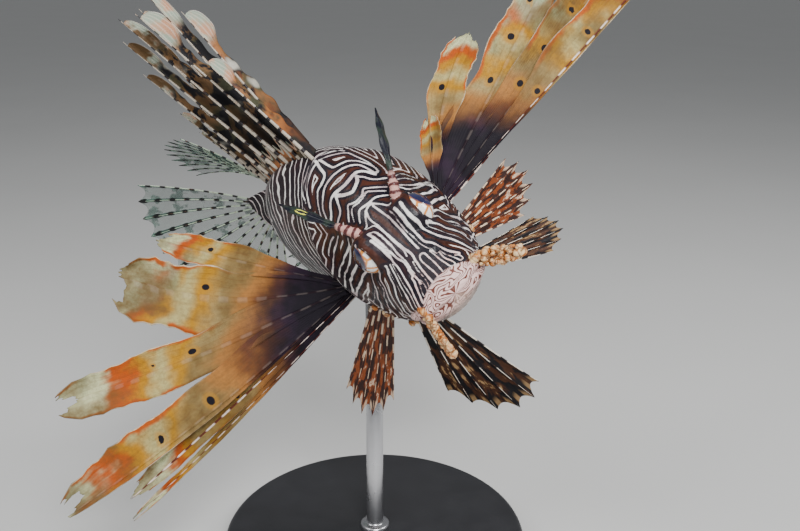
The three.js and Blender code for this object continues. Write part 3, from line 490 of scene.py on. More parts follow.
def skin_finish():
    f = Finish("lionfish_skin")
    behind, down_side, lip = f.own("behind"), f.own("down"), f.own("lips")
    wobble = f.sway(420)
    line = f.own("edge") + wobble * 0.4 + 0.08 + behind.fall(26, 36) * 0.08
    bar_place = behind + f.noise(34, 3) * 22 + (down_side * 0.045).sin() * 2.4
    bar_across = ((bar_place / BAR_PITCH).fract() - 0.5).abs() * BAR_PITCH
    thick = ((bar_place / (2 * BAR_PITCH)).fract() - 0.5).ramp(-0.01, 0.01) * 0.2
    bars = (bar_across + wobble * 0.5 - thick).fall(0.16, 0.36)
    between = (((line - 2.5) / 2.4 + 0.5).fract() - 0.5).abs()
    shown_line = line.fall(-0.1, 0.12).most(line.ramp(2.0, 2.2) * between.fall(0.08, 0.15))
    trunk = (behind + f.sway(55, 2) * 26).ramp(*TRUNK_STARTS)
    shown_line = shown_line * (1 - trunk) + bars * trunk
    lip_place = f.flat(f.own("across") * 0.42, f.own("height"), behind)
    scribble = ((f.noise(0.30, 1.2, 0.4, lip_place, 0.5) * 11).fract() - 0.5).abs()
    lip_share = lip.ramp(0.35, 0.65)
    shown_line = shown_line * (1 - lip_share) + scribble.ramp(0.10, 0.24) * lip_share
    pale = f.blend(f.patches(160, 0.42, 0.62, 2), LINE_WHITE, LINE_GREY)
    pale = f.blend(behind.fall(4, 14) * f.patches(500, 0.35, 0.6), pale, LINE_PINK)
    warm = f.blend(f.patches(260, 0.3, 0.7, 4), BROWN, RED_BROWN)
    black = f.blend(f.patches(90, 0.4, 0.7, 2), BLACK, WORN_BLACK)
    f.colour = f.blend(line.ramp(0.7, 1.3) * (1 - behind.ramp(50, 64) * 0.85), black, warm)
    f.paint(lip_share, LIP_RED)
    f.paint(shown_line, f.blend(lip_share, pale, LIP_CREAM))
    f.paint(down_side.ramp(140, 168) * 0.5, BELLY_PALE)
    # Painted shade: the skin sunk in each orbit is darkened by how deep it lies in the hollow.
    f.paint(f.own("socket").ramp(0.25, 0.75), ORBIT_SHADE)
    scales = f.cells(900) * 0.6 + f.noise(1500, 2) * 0.5 + shown_line * 0.7
    f.surface(0.36 + f.patches(300, 0.3, 0.7) * 0.18, scales, 0.55, 0.0003, gloss=0.3)
    return f


def closed_tube(rings, first, last):
    """Points and faces of a tube through the rings, drawn together to one point at each end."""
    count, sides = rings.shape[:2]
    number = np.arange(count * sides).reshape(count, sides)
    ahead = np.roll(number, -1, axis=1)
    faces = np.stack([number[:-1], ahead[:-1], ahead[1:], number[1:]], axis=-1).reshape(-1, 4).tolist()
    faces += [[number.size, b, a] for a, b in zip(number[0].tolist(), ahead[0].tolist())]
    faces += [[number.size + 1, a, b] for a, b in zip(number[-1].tolist(), ahead[-1].tolist())]
    return np.concatenate([rings.reshape(-1, 3), [first], [last]]), faces


def make_mesh(name, points, edges, faces, values):
    """A mesh from points in the fish's frame, with one value per point for each attribute."""
    mesh = bpy.data.meshes.new(name)
    mesh.from_pydata(placed(points).tolist(), edges, faces)
    for key, value in values.items():
        numbers = np.ravel(value).astype(np.float32)
        mesh.attributes.new(key, "FLOAT", "POINT").data.foreach_set("value", numbers)
    return mesh


def add_piece(name, mesh, slot, *nodes):
    """A piece of the fish, which takes the place of its CAD nodes."""
    mesh.polygons.foreach_set("use_smooth", [True] * len(mesh.polygons))
    mesh.update()
    piece = bpy.data.objects.new(name, mesh)
    bpy.context.collection.objects.link(piece)
    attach(piece, "root")
    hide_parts(*nodes)


def make_piece(name, slot, node, finish, points, faces, values):
    mesh = make_mesh(name, points, [], faces, values)
    mesh.materials.append(finish.material)
    add_piece(name, mesh, slot, *node.split())


SNOUT_BULGE = 0.7
snout = skin[0].mean(axis=0)
quarter_turns = [step / SNOUT_ROWS * np.pi / 2 for step in range(SNOUT_ROWS - 1, 0, -1)]
nose = [snout + (skin[0] - snout) * np.cos(a) + [SNOUT_BULGE * np.sin(a), 0, 0] for a in quarter_turns]
rows = np.concatenate([nose, skin])
points, faces = closed_tube(rows, rows[0].mean(axis=0) + [0.05, 0, 0], rows[-1].mean(axis=0))
from_back = np.degrees(np.abs(np.arctan2(np.cos(girth_grid), np.sin(girth_grid))))
measures = dict(edge=edge, lips=lips, across=skin[..., 1], height=skin[..., 2], behind=q_grid, socket=socket,
                down=from_back)
values = {}
for key, value in measures.items():
    on_nose = np.repeat(value[:1], len(nose), axis=0)
    values[key] = np.concatenate([on_nose.ravel(), value.ravel(), [value[0].mean(), value[-1].mean()]])
outward = [face[:1] + face[:0:-1] for face in faces]
make_piece("fish_skin", "skin", "head lower_jaw torso tail", skin_finish(), points, outward, values)


# Fins: soft rays and spines in a thin skin, which grow from the body's edges. The skin between the rays is a
# closed sheet, and the rays are tapered tubes that one tree of Geometry Nodes makes from their paths.
def sheet(steps_u, steps_v, centre, half, extra):
    """A thin closed sheet round centre(u, v), with u, v and what extra(u, v) gives kept as attributes."""
    u, v = np.meshgrid(np.linspace(0, 1, steps_u + 1), np.linspace(0, 1, steps_v + 1), indexing="ij")
    middle = centre(u, v)
    normal = unit(np.cross(np.gradient(middle, axis=0), np.gradient(middle, axis=1)))
    thick = normal * half(u, v)[..., None]
    points = np.concatenate([(middle + thick).reshape(-1, 3), (middle - thick).reshape(-1, 3)])
    number = np.arange(u.size).reshape(u.shape)
    a, b, c, d = number[:-1, :-1], number[1:, :-1], number[1:, 1:], number[:-1, 1:]
    top = np.stack([a, b, c, d], axis=-1).reshape(-1, 4)
    low = np.stack([a, d, c, b], axis=-1).reshape(-1, 4) + u.size
    rim = np.concatenate([number[:, 0], number[-1, 1:], number[-2::-1, -1], number[0, -2:0:-1]])
    after = np.roll(rim, -1)
    wall = np.stack([rim, rim + u.size, after + u.size, after], axis=-1)
    values = {key: np.tile(np.ravel(value), 2) for key, value in dict(u=u, v=v, **extra(u, v)).items()}
    return points, np.concatenate([top, low, wall]).tolist(), values


def joined(parts):
    """Several meshes as one."""
    points, faces, values, start = [], [], {}, 0
    for part_points, part_faces, part_values in parts:
        points.append(part_points)
        faces += [[corner + start for corner in face] for face in part_faces]
        for key, value in part_values.items():
            values.setdefault(key, []).append(value)
        start += len(part_points)
    return np.concatenate(points), faces, {key: np.concatenate(value) for key, value in values.items()}


def lathe_tube(path, radii, sides):
    """A tapered tube along a path, with the share along it as u and the angle round it as v."""
    path, radii = np.asarray(path, float), np.asarray(radii, float)
    tangent = unit(np.gradient(path, axis=0))
    side = unit(np.cross([0.31, 0.17, 0.93], tangent))
    other = np.cross(tangent, side)
    turns = np.arange(sides) / sides * 2 * np.pi
    spokes = np.cos(turns)[:, None] * side[:, None] + np.sin(turns)[:, None] * other[:, None]
    rings = path[:, None] + radii[:, None, None] * spokes
    ends = path[0] - tangent[0] * radii[0] * 0.3, path[-1] + tangent[-1] * radii[-1]
    points, faces = closed_tube(rings, *ends)
    u = np.concatenate([np.repeat(np.linspace(0, 1, len(path)), sides), [0, 1]])
    return points, faces, dict(u=u, v=np.concatenate([np.tile(turns, len(path)), [0, 0]]))


def rounded(u, start):
    """A share of the full width: 1 up to start, then falling round to 0 at the end."""
    return np.sqrt(np.maximum(0, 1 - np.maximum(0, (u - start) / (1 - start)) ** 2))


def bowed(root, start, end, length, s):
    """Places at the shares s along a curve that leaves the root along start and ends along end."""
    middle = root + start * length / 2
    tip = middle + end * length / 2
    s = np.asarray(s, float)[..., None]
    a, b = root + (middle - root) * s, middle + (tip - middle) * s
    return a + (b - a) * s


def ray_tree():
    """Turns a mesh's edges into tubes, whose radius is multiplied by the edges' own girth."""
    tree = bpy.data.node_groups.new("rays", "GeometryNodeTree")
    kinds = {"Geometry": "Geometry", "Radius": "Float", "Sides": "Int", "Material": "Material"}
    for name, kind in kinds.items():
        tree.interface.new_socket(name, in_out="INPUT", socket_type="NodeSocket" + kind)
    tree.interface.new_socket("Geometry", in_out="OUTPUT", socket_type="NodeSocketGeometry")

    def add(kind, inputs):
        node = tree.nodes.new(kind)
        for key, value in inputs.items():
            if isinstance(value, bpy.types.NodeSocket):
                tree.links.new(value, node.inputs[key])
            else:
                node.inputs[key].default_value = value
        return node.outputs

    given = tree.nodes.new("NodeGroupInput").outputs
    girth = add("GeometryNodeInputNamedAttribute", {"Name": "girth"})["Attribute"]
    radius = add("ShaderNodeMath", {0: girth, 1: given["Radius"]})[0]
    radius.node.operation = "MULTIPLY"
    curve = add("GeometryNodeMeshToCurve", {"Mesh": given["Geometry"]})[0]
    profile = add("GeometryNodeCurvePrimitiveCircle", {"Resolution": given["Sides"], "Radius": 1.0})[0]
    tube = {"Curve": curve, "Profile Curve": profile, "Scale": radius, "Fill Caps": True}
    mesh = add("GeometryNodeCurveToMesh", tube)[0]
    mesh = add("GeometryNodeRealizeInstances", {"Geometry": mesh})[0]
    mesh = add("GeometryNodeSetMaterial", {"Geometry": mesh, "Material": given["Material"]})[0]
    add("NodeGroupOutput", {"Geometry": mesh})
    return tree


RAYS = ray_tree()


def ray_piece(name, slot, node, paths, radius, finish, sides=6, taper=0.25):
    """Rays along the paths, as one piece, with the share along each as u and its number as lane."""
    count, steps = len(paths), len(paths[0])
    s = np.tile(np.linspace(0, 1, steps), count)
    edges = [(k * steps + i, k * steps + i + 1) for k in range(count) for i in range(steps - 1)]
    values = dict(u=s, girth=1 - (1 - taper) * s, lane=np.repeat(np.arange(count), steps))
    source = bpy.data.objects.new(name + "_paths", make_mesh(name, np.concatenate(paths), edges, [], values))
    bpy.context.collection.objects.link(source)
    modifier = source.modifiers.new("rays", "NODES")
    modifier.node_group = RAYS
    given = dict(Radius=radius * MM, Sides=sides, Material=finish.material)
    for item in RAYS.interface.items_tree:
        if item.in_out == "INPUT" and item.name in given:
            modifier[item.identifier] = given[item.name]
    bpy.context.view_layer.update()
    mesh = bpy.data.meshes.new_from_object(source.evaluated_get(bpy.context.evaluated_depsgraph_get()))
    bpy.data.objects.remove(source)
    mesh.name = name
    add_piece(name, mesh, slot, node)


# Pectoral fins: long rays, each with its own broad strap of skin, joined only near the body. The straps are
# banded ochre, cream and orange with dark spots, and end ragged and pale.
SIDES = (("left", 1), ("right", -1))
FIN_BASE = dict(q=62.0, side=24.0, level=-3.0)
FACING = unit([0.9, 0, 0.42])
WEB_FADE = (0.22, 0.5)
STRAP_STEPS = (150, 30)
STRAP_HALF, CORD_HALF = 0.24, 0.75
RAY_SHARE = 1 / 3
# A strap rises and sweeps back by degrees, bows and twists along its length, and has a share of its width
# below its ray. Each of its spots is a share of its length and a size.
Strap = namedtuple("Strap", "rise sweep length bow width below twist spots")
PECTORAL = dict(
    right=[
        Strap(-2, 4, 123, 4, 3, 0.5, 10, []),
        Strap(1, 3, 116, 2, 8, 0.4, 12, [(0.5, 0.6)]),
        Strap(7, 0, 134, 12, 14, 0.12, 5, [(0.49, 1.1), (0.67, 1.0)]),
        Strap(21, 9, 118, 10, 17, 0.5, -8, [(0.53, 1.25), (0.67, 0.5)]),
        Strap(42, 24, 96, 40, 26, 0.55, -14, [(0.6, 1.3)]),
        Strap(50, 36, 80, 6, 12, 0.45, -30, [(0.7, 0.9)]),
    ],
    left=[
        Strap(3, 9, 118, 2, 3, 0.5, 8, []),
        Strap(2, 3, 134, 2, 12, 0.06, 4, [(0.4, 0.9), (0.62, 0.8)]),
        Strap(6, 9, 120, 4, 15, 0.35, 0, [(0.44, 1.1), (0.58, 1.2), (0.76, 1.0)]),
        Strap(13, 16, 104, 0, 16, 0.4, -12, [(0.47, 1.1), (0.66, 1.2), (0.84, 0.9)]),
        Strap(23, 28, 73, -38, 14, 0.5, -25, [(0.6, 1.2)]),
        Strap(40, 32, 30, -10, 9, 0.5, -40, []),
    ],
)


def strap_ray(strap, k, side):
    """Two functions of the share along a strap: the place of its ray, and the way the strap stands up."""
    root = beside(FIN_BASE["q"], side * FIN_BASE["side"], FIN_BASE["level"] - 3 + k * 1.5)
    w = math.radians(strap.sweep)
    start, end = (np.array([-math.sin(w), side * math.cos(w) * math.cos(r), math.cos(w) * math.sin(r)])
                  for r in np.radians([strap.rise - strap.bow / 2, strap.rise + strap.bow / 2]))

    def at(s):
        return bowed(root, start, end, strap.length, s)

    def raised(s):
        s = np.asarray(s, float)[..., None]
        tangent = unit(start + (end - start) * s)
        up = unit(np.cross(tangent, FACING) * -side)
        twist = side * np.radians(strap.twist) * s
        return up * np.cos(twist) + np.cross(tangent, up) * np.sin(twist)

    return at, raised


def ragged(v, seed, depth):
    """How far short of its tip a strap stops, across its width."""
    torn = np.abs(np.sin(v * 17 + seed * 2.3)) ** 0.6 + 0.6 * np.abs(np.sin(v * 41 + seed)) ** 0.5
    return depth * (0.5 + 0.5 * np.sin(v * 7 + seed)) ** 2 + depth * 0.4 * torn


def strap_sheet(straps, k, side):
    strap = straps[k]
    at, raised = strap_ray(strap, k, side)
    after = strap_ray(straps[k + 1], k + 1, side)[0] if k + 1 < len(straps) else None
    seed = k * 1.7 + (side > 0) * 0.9

    def wide(u):
        ruffle = 1 + 0.06 * np.sin(u * 23 + seed) * smooth(u, 0.3, 0.5)
        ruffle -= 0.07 * np.abs(np.sin(u * 47 + seed * 2)) * smooth(u, 0.55, 0.8)
        return strap.width * (0.25 + 0.75 * smooth(u, 0.1, 0.6)) * np.maximum(0.16, rounded(u, 0.8)) * ruffle

    def centre(u, v):
        reach = u * (1 - ragged(v, seed, 0.055) * smooth(u, 0.55, 1))
        ray, full = at(reach), raised(reach) * wide(reach)[..., None]
        low, high = ray - full * strap.below, ray + full * (1 - strap.below)
        if after is not None:
            web = (1 - smooth(reach, *WEB_FADE))[..., None]
            high = high + (after(np.minimum(1, reach * strap.length / straps[k + 1].length)) - high) * web
        inner = np.minimum(v / RAY_SHARE, 1)[..., None]
        outer = np.maximum((v - RAY_SHARE) / (1 - RAY_SHARE), 0)[..., None]
        cup = -strap.width * 0.12 * np.sin(v * np.pi) * u
        wave = 0.45 * np.sin(u * 34 + v * 5 + seed)
        wave *= smooth(np.abs(v - RAY_SHARE), 0.15, 0.6) * smooth(u, 0.1, 0.4)
        return low + (ray - low) * inner + (high - ray) * outer + FACING * (cup + wave)[..., None]

    def half(u, v):
        return STRAP_HALF - 0.08 * u + ridge(v - RAY_SHARE, 0.035) * (CORD_HALF - 0.5 * u)

    def extra(u, v):
        lane = (v - RAY_SHARE) * strap.width
        spots = [np.hypot((u - share) * strap.length, lane - strap.width * 0.2) / size
                 for share, size in strap.spots]
        nearest_spot = np.minimum.reduce([*spots, 20 + 0 * u])
        return dict(far=u * strap.length, lane=lane, number=k + 0 * u, spot=nearest_spot)

    return sheet(*STRAP_STEPS, centre, half, extra)


# The strap's colours from root to tip, each with the shares of the length between which it comes in.
STRAP_BANDS = (
    (0.26, 0.40, (0.36, 0.15, 0.035)),
    (0.40, 0.50, (0.34, 0.25, 0.10)),
    (0.50, 0.60, (0.40, 0.19, 0.008)),
    (0.60, 0.68, (0.42, 0.35, 0.14)),
    (0.69, 0.76, (0.40, 0.18, 0.006)),
    (0.77, 0.83, (0.40, 0.065, 0.004)),
    (0.85, 0.92, (0.52, 0.53, 0.30)),
)
ROOT_BROWN, ROOT_BLACK, ROOT_VIOLET = (0.15, 0.045, 0.012), (0.006, 0.004, 0.008), (0.020, 0.009, 0.022)
GREEN, RIM_RED, RIM_CREAM = (0.24, 0.36, 0.22), (0.42, 0.075, 0.005), (0.60, 0.50, 0.34)
# The first two colours are painted shade, for the folds and ruffles of the straps. The grain is the straps'
# own.
SHADE_PATCH_OLIVE, FOLD_SHADE_BROWN, GRAIN = (0.10, 0.055, 0.03), (0.12, 0.068, 0.018), (0.09, 0.05, 0.02)
STREAK, HALO, SPOT_BLACK = (0.12, 0.045, 0.01), (0.40, 0.18, 0.01), (0.006, 0.005, 0.009)
DASH_WHITE, DASH_RED = (0.80, 0.66, 0.58), (0.10, 0.02, 0.015)


def strap_finish():
    f = Finish("pectoral_straps")
    u, v, far, number, lane = f.own("u"), f.own("v"), f.own("far"), f.own("number"), f.own("lane")
    wander = f.noise(48, 3, 0.6) - 0.5
    fine = f.sway(240, 4)
    place = u + wander * 0.34 + (number * 2.4).sin() * 0.045 + lane * 0.004
    f.colour = ROOT_BROWN
    for low, high, tone in STRAP_BANDS:
        f.paint(place.ramp(low, high), tone)
    green = f.patches(38, 0.55, 0.68, 2) * place.ramp(0.5, 0.7)
    f.paint(green * 0.65, GREEN)
    from_ray = (v - RAY_SHARE).abs()
    beyond = v.ramp(0.33, 0.34)
    rim = from_ray * (beyond * 1.5 + (1 - beyond) * 3)
    rim_red = (rim + fine * 0.25 + wander * 0.5).ramp(0.80, 0.95) * place.ramp(0.45, 0.6)
    f.paint(rim_red * f.patches(85, 0.36, 0.5, 2), RIM_RED)
    f.paint((rim + fine * 0.1).ramp(0.965, 0.99) * u.ramp(0.4, 0.6), RIM_CREAM)
    # Painted shade: dark olive patches over the outer strap and brown bands across its middle, the shade in
    # its folds and ruffles.
    shade_patch = f.patches(62, 0.58, 0.72, 4) * place.ramp(0.6, 0.8)
    f.paint(shade_patch * 0.7, SHADE_PATCH_OLIVE)
    fold_shade = f.patches(30, 0.48, 0.62, 2) * place.ramp(0.36, 0.5)
    f.paint(fold_shade * (0.75 + fine), FOLD_SHADE_BROWN)
    grain = f.noise(700, 3, 0.7).ramp(0.42, 0.6) * 0.4
    f.paint(grain * (0.6 + wander), GRAIN)
    streak = (lane * 2.1 + fine * 1.6).sin().ramp(0.6, 0.95) * (0.16 + fine * 0.5)
    f.paint(streak, STREAK)
    spot = f.own("spot") + fine * 0.5
    f.paint(spot.fall(1.9, 3.2) * 0.5, HALO)
    f.paint(spot.fall(1.15, 1.45), SPOT_BLACK)
    root = (u + wander * 0.16 + lane * 0.004).fall(0.24, 0.44)
    f.paint(root, f.blend(f.patches(90, 0.4, 0.7), ROOT_BLACK, ROOT_VIOLET))
    on_ray = from_ray.fall(0.03, 0.055)
    dash = (far / 8 + wander * 0.3).fract()
    dashed = f.blend(dash.ramp(0.35, 0.5) * dash.fall(0.85, 0.97), DASH_WHITE, DASH_RED)
    f.paint(on_ray * (0.9 * number.fall(1.3, 1.6) + 0.06), dashed)
    relief = on_ray * 0.4 + (lane * 7 + wander * 4).sin() * 0.14 + fine
    f.surface(0.6 + fine * 0.15, relief, 0.35, 0.0004, gloss=0.14)
    return f


strap_look = strap_finish()
for name, side in SIDES:
    straps = PECTORAL[name]
    parts = [strap_sheet(straps, k, side) for k in range(len(straps))]
    make_piece("pectoral_straps_" + name, "fins", "pectoral_fin_" + name, strap_look, *joined(parts))


# Fans: the lower pectoral rays, pelvic fins, soft dorsal, anal and tail fins. Each has even rays with skin
# between, notched at the edge. Those near the tail are clear, with dark dots.
FAN_STEPS, STEPS_BETWEEN_RAYS, FAN_HALF, FAN_WAVE = 70, 10, 0.16, 0.5


def fan_sheet(count, ray_point, notch):
    """The skin of a fan, with the ray before each point as lane and the share of the way past it as gap."""
    def centre(u, v):
        lane = v * (count - 1)
        k = np.minimum(np.floor(lane + 1e-9).astype(int), count - 2)
        part = lane - k
        s = u * (1 - notch * np.sin(part * np.pi) ** 0.8 * smooth(u, 0.5, 1))
        points = np.stack([ray_point(n, s) for n in range(count)])
        row, column = np.indices(u.shape)
        a, b = points[k, row, column], points[k + 1, row, column]
        place = a + (b - a) * part[..., None]
        bulge = np.sin(part * np.pi) * FAN_WAVE * smooth(u, 0.1, 0.6)
        facing = unit(np.cross(np.gradient(place, axis=0), np.gradient(place, axis=1)))
        return place + facing * bulge[..., None]

    def extra(u, v):
        lane = v * (count - 1)
        return dict(lane=lane, gap=np.abs(lane - np.round(lane)))

    def half(u, v):
        return FAN_HALF * (1.2 - 0.5 * u)

    return sheet(FAN_STEPS, (count - 1) * STEPS_BETWEEN_RAYS, centre, half, extra)


def web_finish(name, pale, dark, middle, blotches, clear=0.0, dots=0.0):
    """The skin of a fan: blotches along the rays, dark at the root, dotted and clear where asked."""
    f = Finish(name)
    u, lane, gap = f.own("u"), f.own("lane"), f.own("gap")
    wander = f.sway(90)
    fine = f.sway(330, 4)
    blotch = f.noise(1.0, 3, 0.6, f.flat(u * blotches, lane * 1.7, 0.0), 0.3)
    f.colour = f.blend((blotch + gap * 0.16).ramp(0.50, 0.60), dark, middle)
    f.paint((blotch - 0.04 + wander * 0.3).ramp(0.55, 0.61), pale)
    f.paint((u + wander * 0.05).ramp(0.9, 0.97) * (lane * 12).sin().ramp(-0.2, 0.4) * 0.8, pale)
    f.paint(u.fall(0.02, 0.22) * 0.7, ROOT_TONE)
    others = {}
    if clear:
        along_dots = ((u * dots + (lane + 0.5).floor() * 0.37).fract() - 0.5) * 2.6
        dot = (along_dots * along_dots + gap * gap * 34).fall(0.35, 0.75) * u.ramp(0.1, 0.2)
        f.paint(dot, DOT_TONE)
        shown = gap.ramp(0.04, 0.12) * clear * (1 - f.patches(120, 0.55, 0.62) * 0.4)
        others["Alpha"] = 1 - shown * (1 - dot)
    f.surface(0.55 + fine * 0.2, fine + gap * 1.4, 0.4, 0.0004, gloss=0.25, **others)
    return f


def ray_finish(name, pale, dark, bands, share):
    """Rays ringed with pale and dark bands, the pale ones to that share of each."""
    f = Finish(name)
    wander = f.sway(200, 2)
    band = (f.own("u") * bands + f.own("lane") * 0.37 + wander * 0.12).fract()
    f.colour = f.blend(band.ramp(0.30, 0.36) * band.fall(share, share + 0.07), pale, dark)
    f.paint(f.patches(700, 0.55, 0.7, 2) * 0.35, FLECK_TONE)
    f.surface(0.45 + wander * 0.2, f.noise(900, 2), 0.3, 0.0002, gloss=0.3)
    return f


DOT_TONE, ROOT_TONE, FLECK_TONE = (0.006, 0.007, 0.008), (0.02, 0.010, 0.014), (0.30, 0.12, 0.05)
PAIRED_FANS = dict(
    lower_pectoral_right=dict(fore=(0.3, -0.8, -0.6), aft=(0.16, -0.62, -0.76), length=48, curl=(0, 0, 0)),
    lower_pectoral_left=dict(fore=(0.25, 0.85, 0.0), aft=(0.3, 0.8, -0.5), length=36, curl=(0, 0, 0)),
    pelvic_right=dict(fore=(-0.42, 0.12, -1), aft=(0.12, -0.38, -1), length=62, curl=(0.3, 0.1, 0)),
    pelvic_left=dict(fore=(0.1, 0.6, -0.6), aft=(0.25, 0.95, -0.52), length=51, curl=(0.1, 0.05, 0.1)),
)
PAIRED_RAYS, SOFT_DORSAL_RAYS, ANAL_RAYS, TAIL_RAYS = 6, 10, 9, 12
RAY_SHARES = np.linspace(0, 0.99, 40)
TAIL_SPREAD, TAIL_TILT, TAIL_LENGTH = 52, -2, 60


def lower_pectoral_root(side, t):
    place = beside(FIN_BASE["q"] - 1, side * (FIN_BASE["side"] - 1 - 4 * t), FIN_BASE["level"] - 10 - 8 * t)
    return place, 0.85 + 0.22 * math.sin(t * math.pi)


def pelvic_root(side, t):
    q = 60 + 6 * t
    place = beside(q, side * (8 + 2 * t), -float(station(q, BELLY)) + 5)
    return place, 0.78 + 0.3 * math.sin((0.15 + 0.75 * t) * math.pi)


def paired_point(name, root, side):
    """A function of a ray's number and the share along it, for rays that turn evenly from fore to aft."""
    fore, aft, length, curl = (np.array(value, float) for value in PAIRED_FANS[name].values())

    def at(k, s):
        t = k / (PAIRED_RAYS - 1)
        start = fore + (aft - fore) * t
        place, size = root(side, t)
        return bowed(place, along(0, *start), along(0, *(start + curl)), length * size, s)

    return at


def middle_ray(q, z, start, end, length, s):
    return bowed(on_body(q, 0, z), along(q, *start), along(q, *end), length, s)


def soft_dorsal_point(k, s):
    t = k / (SOFT_DORSAL_RAYS - 1)
    q = 121 + 21 * t
    start = (0.62 + 0.18 * t, -0.2, 0.9 - 0.15 * t)
    end = (0.2 + 0.35 * t, -0.5 - 0.6 * t, 1.05 - 0.55 * t)
    return middle_ray(q, float(station(q, BACK)) - 2, start, end, 44 + 10 * math.sin(t * math.pi), s)


def anal_point(k, s):
    t = k / (ANAL_RAYS - 1)
    q, lean = 114 + 24 * t, math.radians(30 + 42 * t)
    start = (math.sin(lean), -0.45, -math.cos(lean))
    end = (math.sin(lean + 0.15), -0.7, -math.cos(lean + 0.15))
    length = 24 + 24 * min(1, t * 2.5) - 8 * max(0, t - 0.6)
    return middle_ray(q, -float(station(q, BELLY)) + 2, start, end, length, s)


def caudal_point(k, s):
    t = k / (TAIL_RAYS - 1) * 2 - 1
    rise = math.radians(TAIL_SPREAD * t + TAIL_TILT)
    start, end = ((math.cos(rise), left, math.sin(rise)) for left in (-0.05, -0.35))
    return middle_ray(STANDARD_LENGTH - 3, 4 + 8 * t, start, end, TAIL_LENGTH - 6 * t * t, s)


def fan(name, slot, node, count, point, web, ray, notch, radius):
    make_piece(name + "_web", slot, node, web, *fan_sheet(count, point, notch))
    ray_piece(name + "_rays", slot, node, [point(k, RAY_SHARES) for k in range(count)], radius, ray)


lower_web = web_finish("lower_pectoral_web", (0.58, 0.42, 0.3), (0.026, 0.009, 0.007), (0.2, 0.045, 0.01), 5)
lower_ray = ray_finish("lower_pectoral_rays", (0.66, 0.50, 0.36), (0.07, 0.02, 0.012), 5.5, 0.75)
pelvic_web = web_finish("pelvic_web", (0.36, 0.22, 0.10), (0.006, 0.005, 0.007), (0.060, 0.022, 0.010), 4.5)
pelvic_ray = ray_finish("pelvic_rays", (0.70, 0.64, 0.55), (0.012, 0.007, 0.009), 5.0, 0.62)
clear_web = web_finish("clear_web", (0.1, 0.19, 0.15), (0.035, 0.09, 0.07), (0.06, 0.13, 0.1), 4.0, 0.8, 8.0)
clear_ray = ray_finish("clear_rays", (0.50, 0.60, 0.46), (0.010, 0.010, 0.010), 8.0, 0.66)
for side_name, side in SIDES:
    for name, node, root, web, ray, notch, radius in (
        ("lower_pectoral_", "pectoral_lower_rays_", lower_pectoral_root, lower_web, lower_ray, 0.12, 0.55),
        ("pelvic_", "pelvic_fin_", pelvic_root, pelvic_web, pelvic_ray, 0.06, 0.5),
    ):
        name += side_name
        point = paired_point(name, root, side)
        fan(name, "fins", node + side_name, PAIRED_RAYS, point, web, ray, notch, radius)
for name, node, count, point, notch in (
    ("soft_dorsal", "dorsal_fin_soft", SOFT_DORSAL_RAYS, soft_dorsal_point, 0.1),
    ("anal", "anal_fin", ANAL_RAYS, anal_point, 0.1),
    ("caudal", "caudal_fin", TAIL_RAYS, caudal_point, 0.06),
):
    fan(name, "clear_fins", node, count, point, clear_web, clear_ray, notch, 0.5)


# Dorsal spines: thirteen stiff venomous spines, ringed white and dark, each with a vane of skin behind it
# that widens to a pale flag near the tip, and a low web between their feet.
SPINE_LENGTHS = [50, 66, 76, 80, 80, 78, 75, 70, 64, 56, 46, 34, 37]
FIRST_ROOT, LAST_ROOT = 61.0, 115.0
SPINES = range(len(SPINE_LENGTHS))
VANE_EXCESS = 3
WIDE_FLAGS, WIDE_FLAG, NARROW_FLAG = 3, 5.5, 1.5
SPINE_RADIUS, SPINE_TAPER, LEAN, LEAN_MORE = 0.8, 0.12, 14, 17
WEB_HEIGHT = 13.0
VANE_BLACK, OLIVE, OLIVE_BROWN = (0.007, 0.006, 0.008), (0.045, 0.045, 0.022), (0.16, 0.085, 0.035)
FIRST_ORANGE, VANE_GREY, WORN_BROWN = (0.36, 0.12, 0.03), (0.42, 0.40, 0.34), (0.10, 0.055, 0.02)
FLAG_PINK, FLAG_GREEN, FLAG_STREAK = (0.42, 0.22, 0.13), (0.26, 0.31, 0.24), (0.60, 0.52, 0.44)
FLAG_EDGE, FOOT_BLACK = (0.78, 0.72, 0.66), (0.006, 0.005, 0.007)


def vane_finish():
    f = Finish("dorsal_vanes")
    u, v, number = f.own("u"), f.own("v"), f.own("number")
    wander = f.sway(110)
    olive = f.blend(f.patches(80, 0.4, 0.6), OLIVE, OLIVE_BROWN)
    blotch = f.noise(1.0, 3, 0.6, f.flat(u * 9, v * 0.8, number * 3.1), 0.4)
    f.colour = f.blend(blotch.ramp(0.46, 0.53), VANE_BLACK, olive)
    f.paint(number.fall(0.5, 1.5) * f.patches(100, 0.42, 0.6), FIRST_ORANGE)
    f.paint(f.patches(70, 0.62, 0.7, 2) * u.ramp(0.3, 0.5), VANE_GREY)
    flag = (u + wander * 0.1).ramp(0.76, 0.83)
    cream = f.blend(f.patches(150, 0.38, 0.6), FLAG_PINK, FLAG_GREEN)
    cream = f.blend((v * 26 + wander * 9).sin().ramp(0.2, 0.9) * 0.35, cream, FLAG_STREAK)
    worn = f.blend(f.patches(90, 0.45, 0.55), WORN_BROWN, cream)
    f.paint(flag, f.blend(number.ramp(2.5, 4.0), cream, worn))
    f.paint(v.ramp(0.88, 0.98) * flag * 0.8, FLAG_EDGE)
    f.paint((u + wander * 0.2).fall(0.12, 0.4) * 0.85, FOOT_BLACK)
    f.surface(0.55 + wander * 0.2, f.noise(500, 3), 0.35, 0.0003, gloss=0.25)
    return f


def spine(k, s):
    """Places along a spine, and its first direction."""
    t = k / SPINES[-1]
    q = FIRST_ROOT + (LAST_ROOT - FIRST_ROOT) * t
    lean = math.radians(LEAN + LEAN_MORE * t)
    splay = (0.08 if k % 2 else -0.05) - 0.1 * t
    start, end = (along(0, math.sin(a), splay, math.cos(a)) for a in (lean, lean + 0.12))
    root = on_body(q, 0, float(station(q, BACK)) - 3)
    return bowed(root, start, end, SPINE_LENGTHS[k] + VANE_EXCESS, s), start


